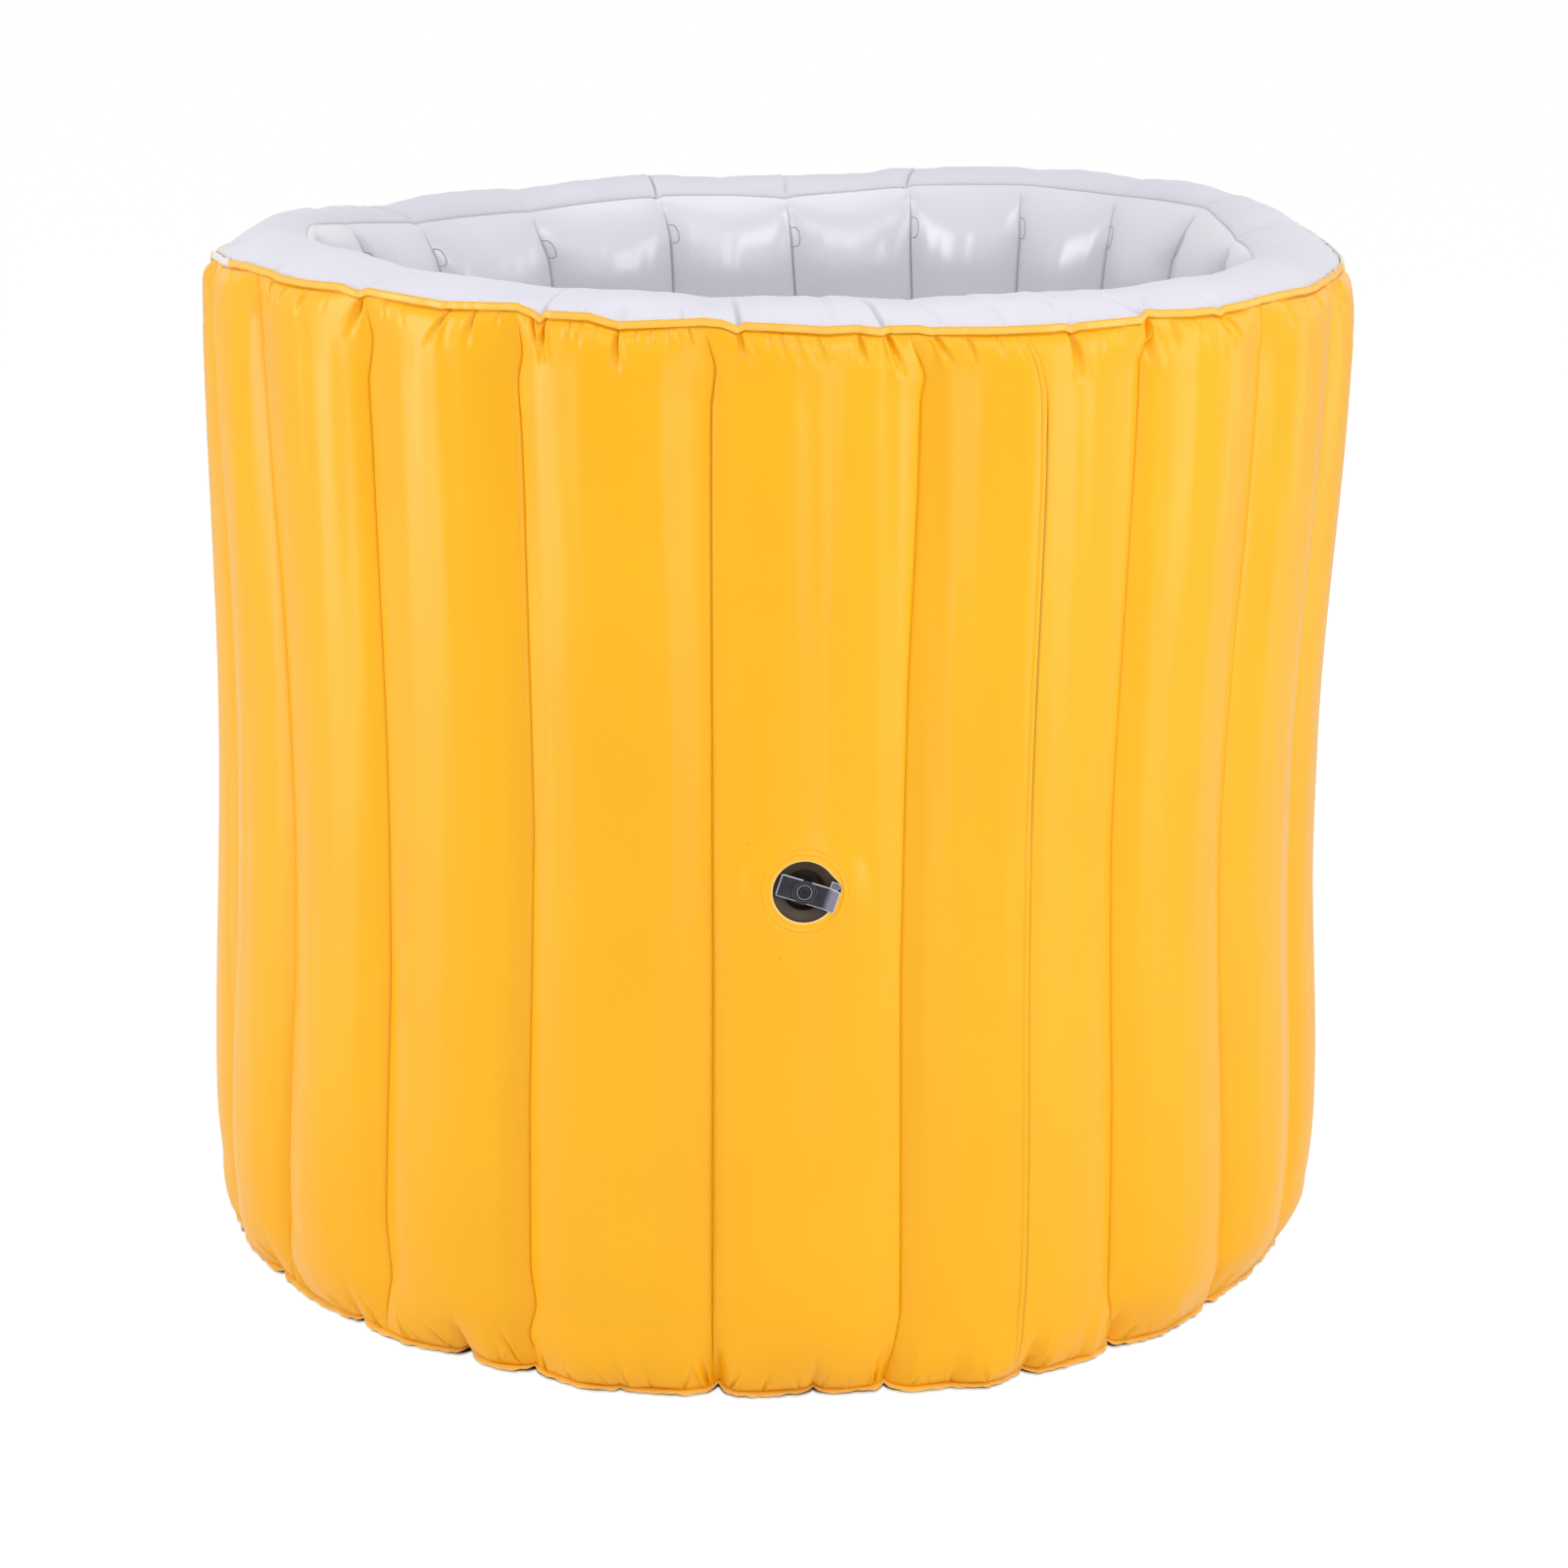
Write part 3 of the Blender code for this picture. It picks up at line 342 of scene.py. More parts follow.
class Wall:
    """The columns of a skin: its upright lines, and the swell between its creases."""

    def __init__(self, creases, counts, evenness, lap=None):
        self.creases = creases
        self.lines = list(creases)
        if lap:
            self.lines.insert(LAP_AFTER + 1, lap)
        self.shares = [columns_between(count, evenness) for count in counts]

    def angles(self, heights, every=1):
        """One row of angles for each height."""
        lines = [path_angle(path, heights) for path in self.lines]
        lines.append(lines[0] + math.tau)
        rows = []
        for here, following, shares in zip(lines, lines[1:], self.shares):
            rows.append(here[:, None] + (following - here)[:, None] * shares[None, ::every])
        return np.concatenate(rows, axis=1)

    def across(self, angles, heights):
        """(share across its channel, arc to the nearest crease in radians) of each point."""
        marks = np.stack([path_angle(path, heights) for path in self.creases], axis=-1)
        marks = np.concatenate([marks, marks[..., :1] + math.tau], axis=-1)
        first = marks[..., :1]
        turned = (angles[..., None] - first) % math.tau + first
        step = np.clip((turned >= marks).sum(-1) - 1, 0, len(self.creases) - 1)[..., None]
        low = np.take_along_axis(marks, step, -1)[..., 0]
        high = np.take_along_axis(marks, step + 1, -1)[..., 0]
        turned = turned[..., 0]
        share = (turned - low) / (high - low)
        return share, np.minimum(turned - low, high - turned), step[..., 0]


def made_creases(table):
    made = []
    for path in table:
        if len(path) == 1:
            path = leaning(path[0], draw.uniform(-0.8, 0.8), draw.uniform(-0.8, 0.8))
        made.append(path)
    return made


OUTER_COUNTS = ([FRONT_COLUMNS] + [SEAM_COLUMNS] * 2 + [FRONT_COLUMNS] * 3 + [BACK_COLUMNS] * 11
                + [FRONT_COLUMNS] * 5)
OUTER_WALL = Wall(made_creases(OUTER_CREASES), OUTER_COUNTS, 0.20, lap=LAP_SEAM)
INNER_WALL = Wall(made_creases(INNER_CREASES), [INNER_COLUMNS] * len(INNER_CREASES), 0.14)
HEM_TABLE = list(HEM_LINE) + [entry for entry in HEM_SAG if 84 < entry[0] < 280]
hem_angle = 86.0
while hem_angle < 276:
    HEM_TABLE.append((hem_angle, float(np.interp(hem_angle, *zip(*HEM_SAG))) + draw.uniform(-1.3, 1.3)))
    hem_angle += draw.uniform(2.2, 6.5)
FOLD_TABLE = list(HEM_FOLDS)
fold_angle = 81.0
while fold_angle < 284:
    fold_depth = draw.choice((1.0, 1.2, 1.4, 2.0, 2.8))
    fold_lean = draw.uniform(-1.2, 1.2)
    FOLD_TABLE.append((fold_angle, fold_angle + fold_lean, 12 + 6 * fold_depth, fold_depth,
                       draw.uniform(2.0, 2.8), draw.choice((-1, 1))))
    fold_angle += draw.uniform(1.3, 3.6)
NOTCH_TABLE = around(FOOT_NOTCHES, 82, 276, (9, 15), lambda: (draw.uniform(3, 7), draw.uniform(3, 8)))
FOOT_FOLDS = list(FOOT_WRINKLES)
fold_angle = -88.0
while fold_angle < 268:
    if min(abs(fold_angle - fold[0]) for fold in FOOT_WRINKLES) > 1.6:
        fold_depth = draw.choice((0.5, 0.7, 0.9, 1.3))
        FOOT_FOLDS.append((fold_angle, fold_angle + draw.uniform(-1.6, 1.6), 8 + 9 * fold_depth, fold_depth,
                           draw.uniform(1.5, 2.3), draw.choice((-1, 1))))
    fold_angle += draw.uniform(1.2, 3.2)
CHANNEL_FULLNESS = [draw.uniform(0.96, 1.03) for _ in OUTER_CREASES]
RAGGED = []  # small uneven bends of the foot hem: (degrees, lift mm, out mm)
hem_angle = 0.0
while hem_angle < 359:
    RAGGED.append((hem_angle, draw.uniform(-0.3, 0.9), draw.uniform(-1.3, 1.1)))
    hem_angle += draw.uniform(0.9, 3.4)


def hem_lift(angles):
    return periodic(HEM_TABLE, angles) * MM


def seam_lift(angles):
    return periodic([(turn, lift) for turn, lift, _ in SEAM_LINE], angles) * MM


def seam_radius(angles):
    return INNER_SEAM - periodic([(turn, inset) for turn, _, inset in SEAM_LINE], angles) * MM


def hem_pinch(angles):
    """How far the hem is drawn in, at its strong folds."""
    drawn = np.zeros_like(angles)
    for start, _, _, depth, width, _ in FOLD_TABLE:
        if depth > 1.7:
            arc = apart(angles, math.radians(start)) * TUB_RADIUS
            drawn += 0.45 * depth * MM * bell(arc, 1.3 * width * MM)
    return drawn


def fold_field(angles, drop, table, radius, spread=0.9):
    """Displacement of short folds that start on a hem, and the shade line in each; drop is the distance from it."""
    field, lines = np.zeros_like(angles), np.zeros_like(angles)
    for start, tip, length, depth, width, side in table:
        share = drop / (length * MM)
        middle = math.radians((start + tip) / 2)
        near = np.abs(apart(angles, middle)) < math.radians(abs(tip - start)) + 8 * width * MM / radius
        inside = (share >= 0) & (share < 1.15) & near
        if not inside.any():
            continue
        s = share[inside]
        centre = np.radians(start + (tip - start) * s)
        across = apart(angles[inside], centre) * radius / (width * MM * (0.45 + spread * s))
        fade = np.minimum(1, (s + 0.05) / 0.2) * np.clip(1 - s / 1.15, 0, 1) ** 1.1
        valley = -np.exp(-(np.abs(across) ** 1.2))
        ridge = 0.70 * bell(across - side * 1.5) + 0.30 * bell(across + side * 1.7)
        field[inside] += depth * MM * fade * (valley + ridge)
        line = min(1.0, depth / 3.2) * fade * bell(across, 0.45)
        lines[inside] = np.maximum(lines[inside], line)
    return field, lines


def ripples(angles, heights):
    """Slow upright waves of the stretched sheet."""
    return MM * (0.16 * np.sin(angles * 97 + 1.3 * np.sin(heights * 9))
                 + 0.20 * np.sin(angles * 61 + 2.1 + 1.7 * np.sin(heights * 6))
                 + 0.11 * np.sin(angles * 151 + heights * 14))


def foot_out(angles):
    return (1.5 + periodic(FOOT_LINE, angles)) * MM


def ragged(angles):
    """(lift, out) of the foot hem's small bends."""
    return (periodic([(turn, lift) for turn, lift, _ in RAGGED], angles) * MM,
            periodic([(turn, out) for turn, _, out in RAGGED], angles) * MM)


def edge_waves(angles):
    """(lift, out) of the small waves along the cut edge of the foot hem."""
    lift = 0.40 * (1 + np.sin(angles * 113 + 2 * np.sin(angles * 19)))
    lift += 0.30 * (1 + np.sin(angles * 227 + 1.5 * np.sin(angles * 31)))
    out = 0.6 * np.sin(angles * 57 + 2 * np.sin(angles * 9)) + 0.35 * np.sin(angles * 131 + np.sin(angles * 17))
    return lift * MM, out * MM


def foot_waves(angles):
    """(lift, tuck) of the foot hem: notches, with a gentle wave between them."""
    lift = 0.35 * MM * (1 + np.sin(angles * 23 + 0.6) * np.sin(angles * 7 + 1.0))
    tuck = 0.6 * MM * (1 + np.sin(angles * 41 + 2.0 * np.sin(angles * 5)))
    for turn, rise, draw_in in NOTCH_TABLE:
        arc = np.abs(apart(angles, math.radians(turn)) * FLANGE_EDGE[0])
        notch = np.exp(-((arc / (3.6 * MM)) ** 1.15))
        skirt = bell(arc, 16 * MM)
        lift += rise * MM * (0.72 * notch + 0.16 * skirt)
        tuck += draw_in * MM * (0.70 * notch + 0.18 * skirt)
    return lift, tuck


def wall_stations():
    """(height, crease radius, crest radius) down the wall, and the rows between which it has half the columns."""
    rows = []
    top = SEAM_HEIGHT - BAND - 0.0008
    for share in np.linspace(0, 1, 36):
        turn = share * math.pi / 2
        height = SHOULDER_HEIGHT + (top - SHOULDER_HEIGHT) * math.cos(turn)
        rise = math.sin(turn)
        crease = TUB_RADIUS - 0.0006 + (SHOULDER_CREASE - TUB_RADIUS) * rise
        crest = TUB_RADIUS - 0.0006 + (SHOULDER_CREST - TUB_RADIUS) * rise
        rows.append((height, crease, crest))
    first = len(rows) + 2
    heights = np.concatenate([np.arange(SHOULDER_HEIGHT - 0.005, 0.425, -0.012), np.arange(0.421, 0.308, -0.003),
                              np.arange(0.298, HAUNCH_HEIGHT, -0.012), [HAUNCH_HEIGHT]])
    for height in heights:
        upper = smooth(WAIST_HEIGHT, SHOULDER_HEIGHT, height)
        lower = 1 - smooth(HAUNCH_HEIGHT, WAIST_HEIGHT, height)
        crease = OUTER_CREASE + (SHOULDER_CREASE - OUTER_CREASE) * upper
        crest = OUTER_CREST + (SHOULDER_CREST - OUTER_CREST) * upper + (HAUNCH_CREST - OUTER_CREST) * lower
        rows.append((float(height), float(crease), float(crest)))
    last = len(rows)
    for share in np.linspace(0, 1, 32)[1:]:
        turn = (1 - share) * math.pi / 2
        height = WELD_HEIGHT + (HAUNCH_HEIGHT - WELD_HEIGHT) * (1 - math.cos(turn))
        rise = math.sin(turn)
        crease = WELD_RADIUS + (OUTER_CREASE - WELD_RADIUS) * rise
        crest = WELD_RADIUS + (HAUNCH_CREST - WELD_RADIUS) * rise
        rows.append((height, crease, crest))
    return np.array(rows), first, last


STATIONS, HALVED_FROM, HALVED_TO = wall_stations()


def valve_matrix():
    """The valve's frame: Z out of the wall, Y up, origin on the pad's face."""
    origin = Vector(ring_place(PAD_FACE, VALVE_ANGLE, VALVE_HEIGHT).tolist())
    facing = Matrix.Rotation(VALVE_ANGLE, 4, "Z") @ Matrix.Rotation(math.pi / 2, 4, "X")
    return Matrix.Translation(origin) @ facing


def outer_radius(angles, heights, crease, crest):
    """Radius of the outer skin with its creases, folds, lap seam and valve pad."""
    share, gap, channel = OUTER_WALL.across(angles, heights)
    full = np.array(CHANNEL_FULLNESS)[channel]
    swell = np.clip(1 - np.abs(2 * share - 1) ** 2.0, 0, 1) ** 0.90
    radius = crease + (crest - crease) * swell * full
    calm = smooth(0.729, 0.712, heights) * smooth(0.004, 0.03, heights)
    radius -= 0.9 * MM * np.exp(-(gap * crease / (0.55 * MM))) * calm
    radius += ripples(angles, heights) * smooth(0.728, 0.69, heights) * smooth(0.02, 0.09, heights)
    drop = SEAM_HEIGHT - BAND - heights
    folds, fold_lines = fold_field(angles, drop, FOLD_TABLE, TUB_RADIUS)
    radius += FOLD_GAIN * folds
    radius -= hem_pinch(angles) * (1 - smooth(0, 0.035, drop))
    puffed = np.clip(drop, 0, None) / PUFF_DROP
    radius += PUFF_HEIGHT * puffed * np.exp(1 - puffed)
    rise = heights - WELD_HEIGHT
    folds, foot_lines = fold_field(angles, rise, FOOT_FOLDS, WELD_RADIUS)
    radius += FOOT_GAIN * folds
    _, tuck = foot_waves(angles)
    radius -= tuck * 0.65 * (1 - smooth(0, 0.045, rise))
    radius += foot_out(angles) * (1 - smooth(0, 0.055, rise))
    radius += periodic(HAUNCH_LINE, angles) * MM * smooth(0, 0.04, rise) * (1 - smooth(0.11, 0.32, heights))
    radius += periodic(SHOULDER_LINE, angles) * MM * smooth(0.40, 0.62, heights) * smooth(0.735, 0.69, heights)
    lap = apart(angles, path_angle(LAP_SEAM, heights)) * crease
    lap_fade = smooth(0.735, 0.722, heights) * smooth(0.006, 0.04, heights)
    strip = smooth(-3.4 * MM, -3.0 * MM, lap) * (1 - smooth(-0.3 * MM, 0.3 * MM, lap))
    open_edge = smooth(0.36, 0.44, heights) * (1 - smooth(0.675, 0.70, heights))
    radius += lap_fade * 0.6 * MM * strip
    radius -= lap_fade * (0.5 + 0.7 * open_edge) * MM * bell(lap - LAP_EDGE, 0.6 * MM)
    radius -= lap_fade * 0.25 * MM * bell(lap + LAP_WIDTH, 0.6 * MM)
    turn = apart(angles, VALVE_ANGLE)
    reach = np.hypot(turn * PAD_FACE, heights - VALVE_HEIGHT)
    flat = PAD_FACE / np.cos(turn * (reach < 2 * PAD_BLEND))
    pad = 1 - smooth(PAD_FLAT, PAD_BLEND, reach)
    radius += (flat - radius) * pad
    for ring, depth in WELD_GROOVES:
        radius -= depth * MM * bell(reach - ring, 0.55 * MM) * (reach < PAD_BLEND)
    radius += 0.25 * MM * bell(reach - WELD_RIDGE, 1.0 * MM) * (reach < PAD_BLEND)
    # The third value is the painted shade line along the folds.
    return radius, gap * crease, np.maximum(fold_lines, foot_lines)


class SheetRows:
    """Rows of points round the tub, from the top down, stitched to one sheet; the next row may have half as many."""

    def __init__(self):
        self.points, self.starts, self.counts = [], [], []
        self.marks = {"weld_and_shade": [], "edge": [], "gap": [], "lip": []}

    def add(self, radius, angles, height, weld_and_shade=0.0, edge=0.0, gap=0.0, lip=0.0):
        self.starts.append(sum(self.counts))
        self.counts.append(len(angles))
        self.points.append(ring_place(radius, angles, height))
        for mark, value in (("weld_and_shade", weld_and_shade), ("edge", edge), ("gap", gap), ("lip", lip)):
            self.marks[mark].append(np.broadcast_to(np.asarray(value, float), angles.shape).reshape(-1))

    def mesh(self, name, outwards=True):
        faces = []
        for row in range(len(self.counts) - 1):
            upper, lower = self.starts[row], self.starts[row + 1]
            many, few = self.counts[row], self.counts[row + 1]
            if many == few:
                for step in range(many):
                    after = (step + 1) % many
                    faces.append((upper + step, lower + step, lower + after, upper + after))
                continue
            wide, narrow, wide_count = (upper, lower, many) if many > few else (lower, upper, few)
            for step in range(wide_count // 2):
                after = (step + 1) % (wide_count // 2)
                a, b, c = wide + 2 * step, wide + 2 * step + 1, wide + 2 * after
                d, e = narrow + step, narrow + after
                made = [(a, d, b), (b, d, e), (b, e, c)]
                faces.extend(made if many > few else [face[::-1] for face in made])
        if not outwards:
            faces = [face[::-1] for face in faces]
        marks = {mark: np.concatenate(values) for mark, values in self.marks.items()}
        return sheet_mesh(name, np.concatenate(self.points), faces, marks)


def add_piece(name, mesh, finish):
    made = bpy.data.objects.new(name, mesh)
    bpy.context.scene.collection.objects.link(made)
    mesh.materials.clear()
    mesh.materials.append(finish)
    return made


def claim(piece, body, node):
    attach(piece, body)
    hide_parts(node)


def opened(mesh):
    shape = bmesh.new()
    shape.from_mesh(mesh)
    return shape


def settle(shape, mesh, sharp=None):
    """Write a shape to its mesh, smooth but for edges sharper than the given degrees."""
    shape.to_mesh(mesh)
    shape.free()
    mesh.shade_smooth()
    if sharp:
        mesh.set_sharp_from_angle(angle=math.radians(sharp))
    return mesh


def circle(radius, sides, height):
    turns = (math.tau * step / sides for step in range(sides))
    return [(radius * math.cos(turn), radius * math.sin(turn), height) for turn in turns]


def stitch(shape, rings, closed=False):
    """Faces between each ring of points and the next, and from the last to the first if closed."""
    made = []
    for first, second in zip(rings, rings[1:] + rings[:closed]):
        for step in range(len(first)):
            after = (step + 1) % len(first)
            made.append(shape.faces.new((first[step], second[step], second[after], first[after])))
    return made


def sheet_mesh(name, points, faces, marks):
    """A smooth mesh from numpy points, with its float attributes."""
    mesh = bpy.data.meshes.new(name)
    mesh.from_pydata(points.reshape(-1, 3).tolist(), [], faces)
    for mark, values in marks.items():
        layer = mesh.attributes.new(mark, "FLOAT", "POINT")
        layer.data.foreach_set("value", np.ascontiguousarray(values.reshape(-1), dtype=np.float32))
    mesh.shade_smooth()
    return mesh


def outer_skin_mesh():
    sheet = SheetRows()
    top = OUTER_WALL.angles(STATIONS[:1, 0])[0]
    pinch = hem_pinch(top)
    wobble = MM * (0.35 * np.sin(top * 67 + 3 * np.sin(top * 11)) + 0.15 * np.sin(top * 173))
    opening, lip = periodic(HEM_OPEN, top), periodic(HEM_LIP, top)
    strain = 0.5 + 0.5 * np.sin(top * 29 + 2.5 * np.sin(top * 13))
    # Band rows: (out, down, weld line darkness with painted shade, cut edge paleness with painted light on the face,
    # painted shade in the opening); the dark lowest rows are painted shade under the band.
    band = [(-0.0020, -0.0004, 0, 0, 0.9), (-0.0012, 0.0003, 0, 0.5, 0.2), (-0.0006, 0.0006, 0, 1.0, 0),
            (-0.0001, 0.0007, 0, 0.9, 0), (0.0003, 0.0006, 0.8, 0.1, 0), (0.0007, 0.0002, 0.8, 0, 0),
            (0.0010, -0.0005, 0.05, 0.18, 0), (0.0012, -0.0020, 0, 0.22, 0), (0.0013, -0.0032, 0, 0.22, 0),
            (0.0012, -0.0040, 0, 0.1, 0), (0.0008, -0.0044, 0, 0, 0), (-0.0001, -0.0047, 0.7, 0, 0.1),
            (-0.0010, -0.0048, 0.9, 0, 0.3)]
    for out, down, dark, pale, open_dark in band:
        cut_edge_and_light = pale * np.maximum(opening, 0.30 + 0.40 * strain) if pale > 0.4 else pale
        sheet.add(TUB_RADIUS + out - pinch + wobble, top, SEAM_HEIGHT + down + hem_lift(top), dark * 0.9 * (1 - lip),
                  cut_edge_and_light, open_dark * np.maximum(opening, (down < -0.004) * strain), 0.95 * lip * (open_dark < 0.5))
    for first, last, every in ((0, HALVED_FROM, 1), (HALVED_FROM, HALVED_TO, 2), (HALVED_TO, len(STATIONS), 1)):
        heights, crease, crest = STATIONS[first:last].T[:, :, None]
        angles = OUTER_WALL.angles(heights[:, 0], every)
        z = np.broadcast_to(heights, angles.shape)
        radius, gap, lines = outer_radius(angles, z, crease, crest)
        raised = hem_lift(angles)
        high = z + raised * (1 - smooth(0.004, 0.055 + 6 * np.abs(raised), SEAM_HEIGHT - z))
        lift, _ = foot_waves(angles)
        high = high + lift * 0.8 * (1 - smooth(0, 0.040, z - WELD_HEIGHT))
        drop = SEAM_HEIGHT - BAND - z
        # Darker lines: the crease welds with painted shade in their valleys, painted shade just under the hem and
        # along fold valleys, and the lap seam's edges.
        weld_and_shade = 0.55 * bell(gap, 0.55 * MM) * smooth(0.006, 0.020, drop)
        weld_and_shade = np.maximum(weld_and_shade, 0.35 * bell(drop, 0.9 * MM))
        weld_and_shade = np.maximum(weld_and_shade, 0.60 * lines)
        lap = apart(angles, path_angle(LAP_SEAM, z)) * TUB_RADIUS
        open_edge = smooth(0.36, 0.44, z) * (1 - smooth(0.675, 0.70, z))
        weld_and_shade = np.maximum(weld_and_shade, 0.75 * bell(lap - LAP_EDGE, 0.8 * MM))
        weld_and_shade = np.maximum(weld_and_shade, 0.50 * bell(lap + LAP_WIDTH, 0.6 * MM))
        # Painted shade under the lap seam's lifted edge and faintly along the creases.
        parted_shade = (0.25 + 0.35 * open_edge) * bell(lap - LAP_EDGE, 0.6 * MM) * smooth(0.04, 0.07, drop)
        parted_shade = np.maximum(parted_shade, 0.12 * bell(gap, 0.3 * MM) * smooth(0.030, 0.060, drop))
        for row in range(len(angles)):
            sheet.add(radius[row], angles[row], high[row], weld_and_shade[row], 0.0, parted_shade[row])
    low = OUTER_WALL.angles(STATIONS[-1:, 0])[0]
    lift, tuck = foot_waves(low)
    wave, flare = edge_waves(low)
    rise, bend = ragged(low)
    rise = rise + wave
    # Flange rows: (out, down, paleness, darkness); paleness on its face is painted light, on the last rows its cut
    # edge; the darkness is the weld line with painted shade.
    flange = [(0.0, -0.0003, 0, 0.9), (0.0009, -0.0007, 0.05, 0.2), (0.0018, -0.0014, 0.25, 0.0),
              (0.0029, -0.0021, 0.30, 0.0), (0.0040, -0.0028, 0.34, 0), (0.0045, -0.0031, 0.6, 0),
              (0.0047, -0.0034, 1.0, 0), (0.0043, -0.0037, 1.0, 0), (0.0032, -0.0035, 0.3, 0)]
    for out, down, pale, dark in flange:
        share = -down / FLANGE_DROP
        radius = WELD_RADIUS + out - tuck * (0.65 + 0.35 * share) + flare * share + foot_out(low) + bend * share
        height = WELD_HEIGHT + down + lift * (0.8 + 0.1 * share) + rise * share
        sheet.add(radius, low, height, dark, pale)
    return cut_for_pad(sheet.mesh("outer_skin_sheet"))


def pad_point(reach, turn):
    """A point of the outer skin by its distance and direction from the valve's axis."""
    angle = VALVE_ANGLE + reach * np.cos(turn) / PAD_FACE
    height = VALVE_HEIGHT + reach * np.sin(turn)
    crease = np.interp(height, STATIONS[::-1, 0], STATIONS[::-1, 1])
    crest = np.interp(height, STATIONS[::-1, 0], STATIONS[::-1, 2])
    radius, _, _ = outer_radius(angle, height, crease, crest)
    return ring_place(radius, angle, height)


def cut_for_pad(mesh):
    """Swap the grid round the valve for fine rings about its mouth."""
    shape = opened(mesh)
    pale_edge_and_highlight_layer = shape.verts.layers.float.get("edge")
    axis = valve_matrix()
    centre = axis.translation
    near = [face for face in shape.faces if (face.calc_center_median() - centre).length < PATCH_RADIUS]
    bmesh.ops.delete(shape, geom=near, context="FACES")
    rim = [edge for edge in shape.edges
           if edge.is_boundary and (edge.verts[0].co - centre).length < PATCH_RADIUS * 1.5]
    sides = 96
    turns = np.arange(sides) * math.tau / sides
    reaches = list(np.arange(0.0455, 0.0305, -0.0012)) + list(np.arange(0.0300, MOUTH_HOLE + 0.0008, -0.00045))
    reaches += [MOUTH_HOLE + 0.0007, MOUTH_HOLE + 0.0001]
    bulge = 3.4 * MM * bell(apart(turns, math.radians(7)), 0.29)
    rings = []
    for reach in reaches:
        share = np.clip((0.0285 - reach) / (0.0285 - MOUTH_HOLE), 0, 1)
        rings.append([shape.verts.new(p) for p in pad_point(reach + bulge * share, turns).tolist()])
    inward = axis.to_3x3() @ Vector((0, 0, -1))
    for depth, out in ((0.0002, -0.0003), (0.0006, -0.0004), (0.0018, -0.0003)):
        ring = []
        for vert in rings[len(reaches) - 1]:
            aside = vert.co - centre
            aside -= aside.project(inward)
            ring.append(shape.verts.new(vert.co + inward * depth + aside.normalized() * out))
        rings.append(ring)
    stitch(shape, rings)
    for ring, pale in zip(rings[-5:], (0.1, 0.9, 1.0, 1.0, 0.5)):
        for vert in ring:
            vert[pale_edge_and_highlight_layer] = pale
    local = axis.inverted()
    corners = {vert for edge in rim for vert in edge.verts}
    places = [(vert, local @ vert.co) for vert in corners]
    outer = sorted((math.atan2(p.y, p.x) % math.tau, vert.index, vert) for vert, p in places)
    first, second = 0, 0
    while first < sides or second < len(outer):
        near_turn = (first + 1) * math.tau / sides
        far_turn = outer[(second + 1) % len(outer)][0] + math.tau * ((second + 1) // len(outer))
        here, there = rings[0][first % sides], outer[second % len(outer)][2]
        if near_turn < far_turn and first < sides or second >= len(outer):
            shape.faces.new((here, rings[0][(first + 1) % sides], there))
            first += 1
        else:
            shape.faces.new((here, outer[(second + 1) % len(outer)][2], there))
            second += 1
    loose = [vert for vert in shape.verts if not vert.link_faces]
    bmesh.ops.delete(shape, geom=loose, context="VERTS")
    bmesh.ops.recalc_face_normals(shape, faces=shape.faces)
    return settle(shape, mesh)


def panel_folds(angle, table, reach_share, radius):
    """Dimples and folds that start on one edge of the top panel and fade across it."""
    field, lines = np.zeros_like(angle), np.zeros_like(angle)
    for start, tip, reach, depth, width in table:
        s = reach_share / reach
        if s > 1.1:
            continue
        across = apart(angle, math.radians(start + (tip - start) * s)) * radius / (width * MM * (0.5 + 0.5 * s))
        fade = min(1.0, (s + 0.08) / 0.2) * max(0.0, 1 - s / 1.1) ** 0.7
        field += depth * MM * fade * (-np.exp(-(np.abs(across) ** 1.15))
                                      + 0.55 * bell(across - 1.5) + 0.25 * bell(across + 1.6))
        # Painted shade along the valley of each narrow fold.
        if width < 3:
            line = min(1.0, depth / 3.0) * fade * bell(across * width, 0.55)
            lines = np.maximum(lines, line)
    return field, lines


